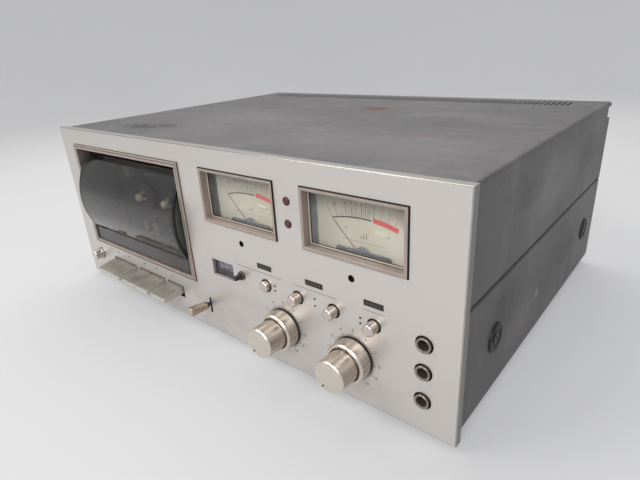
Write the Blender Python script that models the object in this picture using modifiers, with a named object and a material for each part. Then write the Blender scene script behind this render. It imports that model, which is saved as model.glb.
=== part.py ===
"""A stereo cassette deck at full size: metres, +Z up, the front panel facing -Y.

Places are given as x across the deck from its middle, depth back from the panel's face,
and height up from the panel's bottom edge.
"""

import math

import bmesh
import bpy
from mathutils import Matrix, Vector

# The whole deck
PANEL_WIDTH = 0.4200
PANEL_HEIGHT = 0.1542
CASE_DEPTH = 0.3035
PANEL_LIFT = 0.0040
KNOB_REACH = 0.0260

# Clearances, and how far a cutter runs past what it cuts
SEAT_GAP = 0.0003
RUNNING_GAP = 0.0005
OVERRUN = 0.0020

# Facets of a full turn, and points on a rounded corner
ROUND_SIDES = 24
SMALL_SIDES = 12
BOARD_SIDES = 12
CORNER_STEPS = 3

# Front panel: a tray of thick plate with a rim turned back
PANEL_PLATE = 0.0030
PANEL_RIM_DEPTH = 0.0060
PANEL_RIM_WALL = 0.0025
PANEL_BEVEL = 0.0006

# Sheet-metal case, in two halves that lap inside at a seam
SHEET = 0.0012
BEND_RADIUS = 0.0018
CASE_END_INSET = 0.0016
CASE_FLOOR_INSET = 0.00365
CASE_TOP_INSET = 0.0007
SEAM_HEIGHT = 0.0820
SEAM_WIDTH = 0.0036
SEAM_LAP = 0.0094
NOTCH_DEPTH = 0.0105
NOTCH_LOW = 0.1400
NOTCH_HIGH = 0.1500
VENT_PITCH = 0.0046
VENT_SLOT = 0.0020
VENT_LENGTH = 0.0223
VENT_INSET = 0.0129
VENT_END_INSET = 0.0300

# Rear panel
REAR_INSET = 0.0100
REAR_SHEET = 0.0015
REAR_FLANGE = 0.0080

# Front frame: a steel plate behind the panel
FRAME_DEPTH = 0.0120
FRAME_SHEET = 0.0012
FRAME_FOOT = 0.0120

# Cassette bezel and the visor that turns in it
BEZEL_END_SHARES = (-0.4429, -0.0464)
BEZEL_LOW = 0.0398
BEZEL_HIGH_SHARE = 0.9060
BEZEL_PROUD = 0.0016
BEZEL_LAP = 0.0025
BEZEL_WALL = 0.0015
BEZEL_BACK = 0.0340
BEZEL_ROOF_BACK = 0.0080
DOOR_PIVOT_HEIGHT_SHARE = 0.4825
DOOR_RADIUS_SHARE = 0.5906
DOOR_PIVOT_DEPTH_SHARE = 0.8474
DOOR_SKIN = 0.0025
DOOR_CHEEK = 0.0020
DOOR_SIDE_GAP = 0.0014
DOOR_LIP_RISE = 0.0047
DOOR_LIP_THICK = 0.0025
DOOR_TOP_TURN = 45
DOOR_BOSS_RADIUS = 0.0060
DOOR_PIN_RADIUS = 0.0025
DOOR_PIN_REACH = 0.0050
DOOR_SHOULDER_RADIUS = 0.0040
EAR_REACH = 0.0080
EAR_HALF = 0.0100

# Deck plate and the tape transport on it
DECK_END_INSETS = (0.0110, 0.0115)
DECK_TOP_INSET = 0.0057
DECK_DEPTH = 0.0343
DECK_SHEET = 0.0015
DECK_FOOT = 0.0140
REEL_OFFSET = -0.0009
REEL_PITCH = 0.0425
REEL_HEIGHT = 0.0890
REEL_FRONT = 0.0200
REEL_HUB_RADIUS = 0.0036
REEL_NOSE_RADIUS = 0.0020
REEL_NOSE = 0.0030
REEL_LUG_REACH = 0.0052
REEL_LUG_WIDTH = 0.0016
REEL_LUG_FRONT = 0.0225
REEL_DISC_RADIUS = 0.0140
REEL_DISC = 0.0028
REEL_SHAFT_RADIUS = 0.0015
REEL_SHAFT_BACK = 0.0420
CAPSTAN_OFFSET = 0.02205
CAPSTAN_HEIGHT = 0.0600
CAPSTAN_RADIUS = 0.0012
CAPSTAN_FRONT = 0.0220
CAPSTAN_BOSS_RADIUS = 0.0045
CAPSTAN_BOSS_BACK = 0.0560
FLYWHEEL_RADIUS = 0.0320
FLYWHEEL_FRONT = 0.0600
FLYWHEEL_BACK = 0.0700
FLYWHEEL_RIM = 0.0060
FLYWHEEL_WEB = 0.0040
FLYWHEEL_HUB_RADIUS = 0.0080
MOTOR_OFFSET = -0.03635
MOTOR_HEIGHT = 0.0500
MOTOR_RADIUS = 0.0170
MOTOR_LENGTH = 0.0250
MOTOR_STUB = 0.0015
PULLEY_RADIUS = 0.0060
PULLEY_FLANGE = 0.0012
PULLEY_SHAFT_RADIUS = 0.0015
PULLEY_SHAFT_REACH = 0.0060
BELT_FRONT = 0.0660
BELT_WIDTH = 0.0030
BELT_THICK = 0.0012
BRIDGE_END_OFFSETS = (-0.03835, 0.01065)
BRIDGE_LOW = 0.0443
BRIDGE_HIGH = 0.0593
BRIDGE_SHEET = 0.0015
BRIDGE_TRAVEL = 0.0050
BRIDGE_PIN_RADIUS = 0.0015
BRIDGE_PIN_INSET = 0.0060
HEAD_WIDTH = 0.0110
HEAD_HEIGHT = 0.0130
HEAD_REACH = 0.0110
HEAD_CROWN = 0.0040
ERASE_WIDTH = 0.0060
ERASE_OFFSET = 0.0170
PINCH_PIVOT_OFFSET = 0.04165
PINCH_PIVOT_HEIGHT = 0.0500
PINCH_ROLLER_RADIUS = 0.0055
PINCH_ROLLER_FRONT = 0.0225
PINCH_TRAVEL = 9
PINCH_ARM_HALF = 0.0030
PINCH_ARM_SHEET = 0.0015
PINCH_PIN_RADIUS = 0.0015

# Piano keys on their axle
KEY_SLOT_SHARES = (("play", 0.1706, 0.4144), ("wind", 0.4529, 0.7009), ("record", 0.7315, 0.8685))
KEY_SHARES = (
    ("key_play", 0.1766, 0.4084),
    ("key_rewind", 0.4565, 0.5694),
    ("key_fast_forward", 0.5766, 0.6955),
    ("key_record", 0.7375, 0.8529),
)
KEY_SLOT_LOW = 0.0175
KEY_SLOT_HIGH = 0.0288
KEY_TOP = 0.0275
KEY_NOSE_TOP = 0.0240
KEY_NOSE_FACE = 0.0040
KEY_REACH = 0.0190
KEY_UNDERSIDE = 0.0204
KEY_TAIL_DEPTH = 0.0310
KEY_AXLE_DEPTH = 0.0270
KEY_AXLE_HEIGHT = 0.0170
KEY_AXLE_RADIUS = 0.0020
KEY_EYE_RADIUS = 0.0042
KEY_WALL = 0.0016
KEY_TURN = 4.5
KEY_EDGE = 0.0006
KEY_FRAME_MARGIN = 0.0030
AXLE_LUG_HALF = 0.0045
AXLE_LUG_SHEET = 0.0015
AXLE_LUG_SPACE = 0.0020

# Timer lever in its slot
LEVER_SHARE = -0.0112
LEVER_SLOT_WIDTH = 0.0025
LEVER_SLOT_LOW = 0.0156
LEVER_SLOT_HIGH = 0.0294
LEVER_PIVOT_DEPTH = 0.0200
LEVER_PIVOT_HEIGHT = 0.0225
LEVER_PIN_RADIUS = 0.0015
LEVER_EYE_RADIUS = 0.0040
LEVER_STEM_THICK = 0.0018
LEVER_STEM_HALF = 0.0014
LEVER_ROOT_DEPTH = -0.0050
LEVER_TIP_DEPTH = -0.0210
LEVER_PADDLE_WIDTH = 0.0060
LEVER_ROOT_HALF = 0.0022
LEVER_TIP_HALF = 0.0035
LEVER_REST = 4.5
LEVER_EAR = 0.0015

# Power button
POWER_SHARE = -0.4381
POWER_HEIGHT = 0.0260
POWER_RADIUS = 0.0050
POWER_HOLE_GAP = 0.0008
POWER_REACH = 0.01025
POWER_CROWN = 0.0010
POWER_STEM_RADIUS = 0.0025
POWER_STEM_BACK = 0.0240
POWER_HEAD_BACK = 0.0060

# Tape counter
COUNTER_LEFT_SHARE = 0.0152
COUNTER_WIDTH = 0.0239
COUNTER_LOW = 0.0544
COUNTER_HIGH = 0.0678
COUNTER_AXLE_DEPTH = 0.0140
COUNTER_WHEEL_RADIUS = 0.0080
COUNTER_WHEEL_WIDTH = 0.0066
COUNTER_WHEEL_GAP = 0.0008
COUNTER_AXLE_RADIUS = 0.0015
COUNTER_WALL = 0.0015
COUNTER_HALF_HEIGHT = 0.0105
COUNTER_BACK = 0.0260
RESET_SPACE = 0.0094
RESET_HEIGHT = 0.0619
RESET_RADIUS = 0.0021
RESET_REACH = 0.0068
RESET_BACK = 0.0100
RESET_COLLAR_RADIUS = 0.0033
RESET_COLLAR = 0.0015
RESET_HEAD_BACK = 0.0062

# Meters
METER_END_SHARES = (("left", 0.0138, 0.1924), ("right", 0.2452, 0.4229))
METER_LOW_SHARE = 0.6375
METER_HIGH_SHARE = 0.9027
METER_PROUD = 0.0010
METER_FLANGE = 0.0024
METER_LAP = 0.0012
METER_SLEEVE_BACK = 0.0050
METER_LENS = 0.0012
METER_BODY_DROP = 0.0071
METER_BODY_BACK = 0.0300
METER_WALL = 0.0012
METER_DIAL_DEPTH = 0.0137
METER_COVER_DEPTH = 0.0100
METER_COVER = 0.0010
METER_COVER_RISE = 0.0041
METER_BUMP_RADIUS = 0.0062
METER_BUMP_RISE = 0.0003
NEEDLE_PIVOT_DROP = 0.0028
NEEDLE_LENGTH = 0.0317
NEEDLE_TAIL = 0.0020
NEEDLE_WIDTH = 0.0007
NEEDLE_THICK = 0.0005
NEEDLE_DEPTH = 0.0122
NEEDLE_HUB_RADIUS = 0.0026
NEEDLE_PIN_RADIUS = 0.0008
NEEDLE_PIN_FRONT = 0.0114
NEEDLE_REST = -44
ADJUSTER_SHARES = ((0.1040, 0.5713), (0.3329, 0.5707))
ADJUSTER_RADIUS = 0.0024

# Indicator lamps
LAMP_UP_SHARES = (("upper", 0.8288), ("lower", 0.7315))
LAMP_ACROSS_SHARE = 0.2186
LAMP_RADIUS = 0.0022
LAMP_PROUD = 0.0012
LAMP_FLANGE_RADIUS = 0.0032
LAMP_FLANGE = 0.0012

# Round push-buttons and the switch bank behind them
PUSH_SHARES = (0.1552, 0.2267, 0.2981, 0.3700)
PUSH_HEIGHT = 0.0612
PUSH_RADIUS = 0.0040
PUSH_HOLE_GAP = 0.0010
PUSH_REACH = 0.0080
PUSH_TRAVEL = 0.0040
PUSH_CROWN = 0.0006
PUSH_HEAD_BACK = 0.0065
PUSH_STEM_RADIUS = 0.0024
PUSH_STEM_BACK = 0.0240
BANK_MARGIN = 0.0100
BANK_HALF_HEIGHT = 0.0080
BANK_BACK = 0.0380
BANK_BORE_BACK = 0.0300

# Double knobs and their pots
KNOB_SHARES = (("left", 0.1907), ("right", 0.3329))
KNOB_HEIGHT = 0.0328
RING_RADIUS = 0.0140
RING_FRONT = 0.0110
RING_BEVEL = 0.0010
RING_SLEEVE_RADIUS = 0.0078
RING_SLEEVE_BACK = 0.0055
KNOB_RADIUS = 0.0110
KNOB_BEVEL = 0.0008
KNOB_STEM_RADIUS = 0.0055
POT_RADIUS = 0.0120
POT_BACK = 0.0280
POT_BUSH_RADIUS = 0.0046
POT_BUSH_FRONT = 0.0090
POT_SHAFT_RADIUS = 0.0030
POT_SHAFT_REACH = 0.0090

# Jack sockets
JACK_INSET = 0.0218
JACK_HEIGHTS = (("upper", 0.0613), ("middle", 0.0428), ("lower", 0.0228))
JACK_HOLE_RADIUS = 0.0057
JACK_BUSH_RADIUS = 0.0047
JACK_BORE_RADIUS = 0.0033
JACK_PROUD = 0.0012
JACK_BODY_HALF = 0.0082
JACK_BACK = 0.0380
JACK_BORE_BACK = 0.0330

# Things on the floor and the back of the case
TRANSFORMER_SHARE = -0.3690
TRANSFORMER_INSET = 0.0735
TRANSFORMER_WIDTH = 0.0660
TRANSFORMER_HEIGHT = 0.0560
TRANSFORMER_STACK = 0.0300
TRANSFORMER_COIL = 0.0520
TRANSFORMER_COIL_INSET = 0.0100
TRANSFORMER_COIL_ROUND = 0.0030
BOARD_LEFT_SHARE = -0.2381
BOARD_END_INSET = 0.0200
BOARD_FRONT = 0.0950
BOARD_BACK_INSET = 0.0285
BOARD_RISE = 0.0100
BOARD_THICK = 0.0016
BOARD_INSET = 0.0080
POST_RADIUS = 0.0030
CAN_RADIUS = 0.0080
CAN_HEIGHT = 0.0250
CAN_SHARES = ((0.10, 0.25), (0.18, 0.25), (0.10, 0.50), (0.30, 0.80), (0.62, 0.72))
CHIP_SHARES = ((0.36, 0.30), (0.54, 0.30), (0.72, 0.30), (0.45, 0.55), (0.68, 0.52), (0.84, 0.62))
CHIP_LENGTH = 0.0200
CHIP_WIDTH = 0.0065
CHIP_HEIGHT = 0.0040
SOCKET_SHARE = 0.2857
SOCKET_HEIGHT = 0.0600
SOCKET_PITCH = 0.0160
SOCKET_RADIUS = 0.0042
SOCKET_BORE_RADIUS = 0.0022
SOCKET_REACH = 0.0080
STRIP_MARGIN = 0.0090
STRIP_THICK = 0.0020
INLET_SHARE = -0.3571
INLET_HEIGHT = 0.0400
INLET_WIDTH = 0.0270
INLET_TALL = 0.0200
INLET_DEPTH = 0.0150
INLET_WALL = 0.0015
PIN_WIDTH = 0.0020
PIN_TALL = 0.0040
PIN_PITCH = 0.0070
FOOT_END_INSET = 0.0450
FOOT_FRONT = 0.0400
FOOT_BACK_INSET = 0.0335
FOOT_RADIUS = 0.0110
FOOT_TOE_RADIUS = 0.0090
FOOT_RECESS_RADIUS = 0.0040
FOOT_RECESS = 0.0025

# Faces and centre lines worked out from the sizes above
FACE = -(CASE_DEPTH - KNOB_REACH) / 2
PANEL_HALF = PANEL_WIDTH / 2
CASE_FRONT = PANEL_RIM_DEPTH + SEAT_GAP
SIDE_LINE = PANEL_HALF - CASE_END_INSET - SHEET / 2
LAP_LINE = SIDE_LINE - SHEET - SEAT_GAP
INNER_HALF = LAP_LINE - SHEET / 2 - SEAT_GAP
FLOOR_LINE = CASE_FLOOR_INSET + SHEET / 2
FLOOR_TOP = CASE_FLOOR_INSET + SHEET
ROOF_LINE = PANEL_HEIGHT - CASE_TOP_INSET - SHEET / 2
ROOF_UNDER = PANEL_HEIGHT - CASE_TOP_INSET - SHEET
INNER_LOW = FLOOR_TOP + SEAT_GAP
INNER_HIGH = ROOF_UNDER - SEAT_GAP
SEAM_TOP = SEAM_HEIGHT + SEAM_WIDTH
REAR_DEPTH = CASE_DEPTH - REAR_INSET
FRAME_BACK = FRAME_DEPTH + FRAME_SHEET
SHARP = math.radians(35)

# Places across the panel, which follow its width, and up it, which follow its height
BEZEL_LEFT, BEZEL_RIGHT = (share * PANEL_WIDTH for share in BEZEL_END_SHARES)
BEZEL_HIGH = BEZEL_HIGH_SHARE * PANEL_HEIGHT
METER_LOW = METER_LOW_SHARE * PANEL_HEIGHT
METER_HIGH = METER_HIGH_SHARE * PANEL_HEIGHT
METER_SPANS = [(side, low * PANEL_WIDTH, high * PANEL_WIDTH) for side, low, high in METER_END_SHARES]
METER_BODY_LOW = METER_LOW - METER_BODY_DROP
METER_COVER_TOP = METER_LOW + METER_COVER_RISE
METER_BUMP_HEIGHT = METER_LOW + METER_BUMP_RISE
NEEDLE_PIVOT_HEIGHT = METER_LOW - NEEDLE_PIVOT_DROP
ADJUSTER_PLACES = [(across * PANEL_WIDTH, up * PANEL_HEIGHT) for across, up in ADJUSTER_SHARES]
LAMP_PLACES = [(name, up * PANEL_HEIGHT) for name, up in LAMP_UP_SHARES]
LAMP_X = LAMP_ACROSS_SHARE * PANEL_WIDTH
LEVER_X = LEVER_SHARE * PANEL_WIDTH
POWER_X = POWER_SHARE * PANEL_WIDTH
COUNTER_LEFT = COUNTER_LEFT_SHARE * PANEL_WIDTH
COUNTER_RIGHT = COUNTER_LEFT + COUNTER_WIDTH
RESET_X = COUNTER_RIGHT + RESET_SPACE
PUSH_PLACES = [share * PANEL_WIDTH for share in PUSH_SHARES]
KNOB_PLACES = [(side, share * PANEL_WIDTH) for side, share in KNOB_SHARES]
JACK_X = PANEL_HALF - JACK_INSET

# The visor's turning centre and radius, from the height of its bezel
BEZEL_TALL = BEZEL_HIGH - BEZEL_LOW
DOOR_RADIUS = DOOR_RADIUS_SHARE * BEZEL_TALL
DOOR_PIVOT_HEIGHT = BEZEL_LOW + DOOR_PIVOT_HEIGHT_SHARE * BEZEL_TALL
DOOR_PIVOT_DEPTH = DOOR_PIVOT_DEPTH_SHARE * DOOR_RADIUS
DOOR_LIP_BOTTOM = BEZEL_LOW + DOOR_LIP_RISE

# The tape transport keeps its own spacing about the middle of the two reels
REEL_MIDDLE = (BEZEL_LEFT + BEZEL_RIGHT) / 2 + REEL_OFFSET
DECK_LEFT = BEZEL_LEFT + DECK_END_INSETS[0]
DECK_RIGHT = BEZEL_RIGHT - DECK_END_INSETS[1]
DECK_TOP = BEZEL_HIGH - DECK_TOP_INSET
CAPSTAN_X = REEL_MIDDLE + CAPSTAN_OFFSET
MOTOR_X = REEL_MIDDLE + MOTOR_OFFSET
BRIDGE_LEFT, BRIDGE_RIGHT = (REEL_MIDDLE + offset for offset in BRIDGE_END_OFFSETS)
PINCH_PIVOT_X = REEL_MIDDLE + PINCH_PIVOT_OFFSET

# The keys lie under the bezel, at shares of its width from its left end
BEZEL_WIDE = BEZEL_RIGHT - BEZEL_LEFT


def under_bezel(shares):
    """The name and both ends of each key or slot, from its shares of the bezel's width."""
    ends = []
    for name, low, high in shares:
        ends.append((name, BEZEL_LEFT + low * BEZEL_WIDE, BEZEL_LEFT + high * BEZEL_WIDE))
    return ends


KEY_SLOTS = under_bezel(KEY_SLOT_SHARES)
KEY_SPANS = under_bezel(KEY_SHARES)

# Places that are measured from the ends and the back of the case
VENT_BACK = CASE_DEPTH - VENT_INSET
VENT_FRONT = VENT_BACK - VENT_LENGTH
VENT_REACH = PANEL_HALF - VENT_END_INSET
TRANSFORMER_X = TRANSFORMER_SHARE * PANEL_WIDTH
TRANSFORMER_DEPTH = CASE_DEPTH - TRANSFORMER_INSET
BOARD_LEFT = BOARD_LEFT_SHARE * PANEL_WIDTH
BOARD_RIGHT = PANEL_HALF - BOARD_END_INSET
BOARD_BACK = CASE_DEPTH - BOARD_BACK_INSET
SOCKET_X = SOCKET_SHARE * PANEL_WIDTH
INLET_X = INLET_SHARE * PANEL_WIDTH
FOOT_X = PANEL_HALF - FOOT_END_INSET
FOOT_DEPTHS = (("front", FOOT_FRONT), ("rear", CASE_DEPTH - FOOT_BACK_INSET))

for leftover in list(bpy.data.objects):
    bpy.data.objects.remove(leftover)
PARTS = bpy.data.collections.new("Cassette_deck")
CUTTERS = bpy.data.collections.new("Cutters")
for group in (PARTS, CUTTERS):
    bpy.context.scene.collection.children.link(group)

# A cylinder is made along Z, and these turn it along another axis
TURNS = {
    "X": Matrix.Rotation(math.pi / 2, 4, "Y"),
    "Y": Matrix.Rotation(-math.pi / 2, 4, "X"),
    "Z": Matrix.Identity(4),
}
# An outline is drawn flat, and these stand it up across an axis
STANDS = {
    "X": Matrix(((0, 0, 1, 0), (1, 0, 0, 0), (0, 1, 0, 0), (0, 0, 0, 1))),
    "Y": Matrix(((1, 0, 0, 0), (0, 0, 1, 0), (0, 1, 0, 0), (0, 0, 0, 1))),
    "Z": Matrix.Identity(4),
}


def at(x, depth, height):
    """The world place of a point given across the deck, back from the face and up."""
    return Vector((x, FACE + depth, PANEL_LIFT + height))


def along(axis, centre, place):
    """The point at a place on a line that runs along the axis through a centre."""
    first, second = centre
    points = {"X": (place, first, second), "Y": (first, place, second), "Z": (first, second, place)}
    return at(*points[axis])


def keep(name, mesh, place, helper):
    """Adds the mesh as a piece of the deck, or as a helper that only cuts or joins."""
    piece = bpy.data.objects.new("shape_" + name if helper else name, mesh)
    piece.location = place
    if helper:
        piece.hide_render = True
        piece.display_type = "WIRE"
    (CUTTERS if helper else PARTS).objects.link(piece)
    return piece


def mesh_from(name, shape):
    mesh = bpy.data.meshes.new(name)
    shape.to_mesh(mesh)
    shape.free()
    return mesh


def settled(holder):
    """A plain welded mesh of a curve or of a profile with its modifier, whose holder is removed."""
    CUTTERS.objects.link(holder)
    graph = bpy.context.evaluated_depsgraph_get()
    mesh = bpy.data.meshes.new_from_object(holder.evaluated_get(graph))
    bpy.data.objects.remove(holder)
    shape = bmesh.new()
    shape.from_mesh(mesh)
    bmesh.ops.remove_doubles(shape, verts=shape.verts, dist=SEAT_GAP / 100)
    shape.to_mesh(mesh)
    shape.free()
    return mesh


def set_origin(piece, place):
    """Moves a piece's origin, such as onto its joint's axis, and leaves its shape where it is."""
    shift = place - piece.location
    piece.data.transform(Matrix.Translation(-shift))
    piece.location = place
    return piece


def box(name, x, depth, height, helper=False):
    """A box between two places on each axis."""
    low = at(x[0], depth[0], height[0])
    high = at(x[1], depth[1], height[1])
    shape = bmesh.new()
    bmesh.ops.create_cube(shape, size=1)
    bmesh.ops.scale(shape, vec=high - low, verts=shape.verts)
    return keep(name, mesh_from(name, shape), (low + high) / 2, helper)


def rod(name, axis, radius, centre, span, helper=False, sides=ROUND_SIDES):
    """A cylinder along an axis, between two places on it."""
    shape = bmesh.new()
    bmesh.ops.create_cone(
        shape, cap_ends=True, segments=sides, radius1=radius, radius2=radius, depth=span[1] - span[0]
    )
    bmesh.ops.transform(shape, matrix=TURNS[axis], verts=shape.verts)
    middle = along(axis, centre, (span[0] + span[1]) / 2)
    piece = keep(name, mesh_from(name, shape), middle, helper)
    piece.data.shade_smooth()
    piece.data.set_sharp_from_angle(angle=SHARP)
    return piece


def turned(name, axis, centre, profile, ring=False, helper=False, sides=ROUND_SIDES):
    """A profile of (radius, place on the axis) turned about it, from the far end to the near end.

    A ring's profile comes back up its bore and closes.
    """
    shape = bmesh.new()
    points = [shape.verts.new((radius, 0, place)) for radius, place in profile]
    for first, second in zip(points, points[1:]):
        shape.edges.new((first, second))
    if ring:
        shape.edges.new((points[-1], points[0]))
    holder = bpy.data.objects.new(name, mesh_from(name, shape))
    screw = holder.modifiers.new("turn", "SCREW")
    screw.axis = "Z"
    screw.steps = screw.render_steps = sides
    screw.use_merge_vertices = True
    screw.merge_threshold = SEAT_GAP / 100
    mesh = settled(holder)
    mesh.transform(TURNS[axis])
    mesh.shade_smooth()
    mesh.set_sharp_from_angle(angle=SHARP)
    return keep(name, mesh, along(axis, centre, 0), helper)


def drawn(name, axis, outline, span, closed, helper):
    """A flat outline of (x, depth, height without the axis) points, drawn out along the axis."""
    curve = bpy.data.curves.new(name, "CURVE")
    curve.dimensions = "2D"
    curve.fill_mode = "BOTH" if closed else "NONE"
    curve.extrude = (span[1] - span[0]) / 2
    line = curve.splines.new("POLY")
    line.points.add(len(outline) - 1)
    for point, (first, second) in zip(line.points, outline):
        point.co = (first, second, 0, 1)
    line.use_cyclic_u = closed
    mesh = settled(bpy.data.objects.new(name, curve))
    bpy.data.curves.remove(curve)
    mesh.transform(STANDS[axis])
    shape = bmesh.new()
    shape.from_mesh(mesh)
    if closed:
        bmesh.ops.recalc_face_normals(shape, faces=shape.faces)
    shape.to_mesh(mesh)
    shape.free()
    return keep(name, mesh, along(axis, (0, 0), (span[0] + span[1]) / 2), helper)


def slab(name, axis, outline, span, helper=False):
    """A closed outline drawn out to a solid plate."""
    return drawn(name, axis, outline, span, True, helper)


def sheet(name, axis, line, span, thickness, helper=False):
    """A bent sheet: the middle line of its section, drawn out and given its thickness."""
    piece = drawn(name, axis, line, span, False, helper)
    solid = piece.modifiers.new("thickness", "SOLIDIFY")
    solid.thickness = thickness
    solid.offset = 0
    solid.use_even_offset = True
    return piece


def boolean(piece, operation, others):
    for other in others:
        step = piece.modifiers.new(operation.lower(), "BOOLEAN")
        step.operation = operation
        step.object = other
    return piece


def cut(piece, *cutters):
    return boolean(piece, "DIFFERENCE", cutters)


def join(piece, *others):
    return boolean(piece, "UNION", others)


def soften(piece, width, segments=1):
    """Bevels a piece's sharp edges, before anything is cut from it."""
    bevel = piece.modifiers.new("soften", "BEVEL")
    bevel.width = width
    bevel.segments = segments
    bevel.limit_method = "ANGLE"
    bevel.angle_limit = SHARP
    return piece


def arc(centre, radius, start, end, steps):
    """Points on an arc between two angles in degrees."""
    points = []
    for step in range(steps + 1):
        angle = math.radians(start + (end - start) * step / steps)
        points.append((centre[0] + radius * math.cos(angle), centre[1] + radius * math.sin(angle)))
    return points


def rounded(points, radius, closed=False):
    """The outline with an arc of one radius at each corner."""
    result = []
    count = len(points)
    for index, corner in enumerate(points):
        if not closed and index in (0, count - 1):
            result.append(corner)
            continue
        here = Vector(corner)
        back = (Vector(points[index - 1]) - here).normalized()
        ahead = (Vector(points[(index + 1) % count]) - here).normalized()
        half = back.angle(ahead) / 2
        middle = here + (back + ahead).normalized() * radius / math.sin(half)
        start = here + back * radius / math.tan(half) - middle
        sweep = start.angle_signed(here + ahead * radius / math.tan(half) - middle)
        for step in range(CORNER_STEPS + 1):
            turn = Matrix.Rotation(-sweep * step / CORNER_STEPS, 2)
            result.append(tuple(middle + turn @ start))
    return result


def mirrored(side):
    """A line down one side, carried on up the other."""
    return side + [(-x, height) for x, height in reversed(side)]


def dress(piece, colour, roughness, metallic=0.0, alpha=1.0):
    """Gives the piece a material of its own."""
    material = bpy.data.materials.new(piece.name + "_finish")
    material.use_nodes = True
    shader = material.node_tree.nodes["Principled BSDF"]
    shader.inputs["Base Color"].default_value = (*colour, 1)
    shader.inputs["Roughness"].default_value = roughness
    shader.inputs["Metallic"].default_value = metallic
    shader.inputs["Alpha"].default_value = alpha
    piece.data.materials.append(material)
    return piece


# Colours as the shader takes them
SILVER = (0.56, 0.54, 0.50)
CASE_GREY = (0.10, 0.10, 0.10)
STEEL = (0.45, 0.45, 0.44)
TAUPE = (0.19, 0.15, 0.12)
SMOKE = (0.05, 0.045, 0.04)
KEY_GREY = (0.24, 0.23, 0.20)
CHAMPAGNE = (0.62, 0.57, 0.48)
CHROME = (0.75, 0.74, 0.72)
BLACK = (0.02, 0.02, 0.02)
CREAM = (0.72, 0.67, 0.52)
RUBBER = (0.03, 0.03, 0.03)
LAMP_RED = (0.16, 0.015, 0.02)
BOARD_GREEN = (0.05, 0.16, 0.08)
CLEAR = (0.80, 0.82, 0.82)


def case_bottom():
    """The lower half of the case: floor and sides, stepped in at the top to lap inside the cover."""
    step = SIDE_LINE - LAP_LINE
    side = [(-LAP_LINE, SEAM_TOP + SEAM_LAP), (-LAP_LINE, SEAM_HEIGHT + step)]
    side.append((-SIDE_LINE, SEAM_HEIGHT))
    side += rounded([(-SIDE_LINE, SEAM_HEIGHT), (-SIDE_LINE, FLOOR_LINE), (0, FLOOR_LINE)], BEND_RADIUS)[1:-1]
    line = mirrored(side)
    piece = sheet("base_chassis", "Y", line, (CASE_FRONT, CASE_DEPTH), SHEET)
    return dress(piece, CASE_GREY, 0.5, 0.3)


def top_cover():
    """The upper half of the case, with its row of vent slots and the rear corner notches."""
    corner = [(-SIDE_LINE, SEAM_TOP), (-SIDE_LINE, ROOF_LINE), (0, ROOF_LINE)]
    line = mirrored(rounded(corner, BEND_RADIUS)[:-1])
    piece = sheet("top_cover", "Y", line, (CASE_FRONT, CASE_DEPTH), SHEET)
    slots = bmesh.new()
    count = 2 * int(VENT_REACH / VENT_PITCH) + 1
    size = Vector((VENT_SLOT, VENT_BACK - VENT_FRONT, SHEET + OVERRUN))
    for index in range(count):
        place = Vector(((index - (count - 1) / 2) * VENT_PITCH, 0, 0))
        made = bmesh.ops.create_cube(slots, size=1)["verts"]
        bmesh.ops.scale(slots, vec=size, verts=made)
        bmesh.ops.translate(slots, vec=place, verts=made)
    middle = at(0, (VENT_FRONT + VENT_BACK) / 2, ROOF_LINE)
    cut(piece, keep("vents", mesh_from("vents", slots), middle, True))
    for side in (-1, 1):
        reach = sorted((side * (SIDE_LINE - SHEET), side * (SIDE_LINE + SHEET)))
        back = (CASE_DEPTH - NOTCH_DEPTH, CASE_DEPTH + OVERRUN)
        cut(piece, box("notch", reach, back, (NOTCH_LOW, NOTCH_HIGH), helper=True))
    return dress(piece, CASE_GREY, 0.5, 0.3)

# Depth ranges of the cutters that go through the panel's plate and through the front frame
PANEL_CUT = (-OVERRUN, PANEL_PLATE + OVERRUN)
FRAME_CUT = (FRAME_DEPTH - OVERRUN, FRAME_BACK + OVERRUN)

# Outer faces of the pieces that pass through them
SLEEVE_X = (BEZEL_LEFT + BEZEL_LAP, BEZEL_RIGHT - BEZEL_LAP)
SLEEVE_HEIGHT = (BEZEL_LOW + BEZEL_LAP, BEZEL_HIGH - BEZEL_LAP)
METER_SLEEVES = tuple((side, left + METER_LAP, right - METER_LAP) for side, left, right in METER_SPANS)
METER_SLEEVE_HEIGHT = (METER_LOW + METER_LAP, METER_HIGH - METER_LAP)
METER_BODY_HEIGHT = (METER_BODY_LOW, METER_HIGH - METER_LAP)
COUNTER_X = (COUNTER_LEFT - COUNTER_WALL, COUNTER_RIGHT + COUNTER_WALL)
COUNTER_AXLE_HEIGHT = (COUNTER_LOW + COUNTER_HIGH) / 2
COUNTER_HEIGHT = (COUNTER_AXLE_HEIGHT - COUNTER_HALF_HEIGHT, COUNTER_AXLE_HEIGHT + COUNTER_HALF_HEIGHT)
KEYS_X = (KEY_SPANS[0][1], KEY_SPANS[-1][2])


def window(name, x, depth, height, gap=SEAT_GAP):
    """A cutter for a square hole round a piece that passes through with a clearance."""
    return box(name, (x[0] - gap, x[1] + gap), depth, (height[0] - gap, height[1] + gap), helper=True)


def hole(name, radius, x, height, depth, gap=SEAT_GAP, sides=ROUND_SIDES):
    """A cutter for a round hole along the deck's depth."""
    return rod(name, "Y", radius + gap, (x, height), depth, helper=True, sides=sides)


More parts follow.
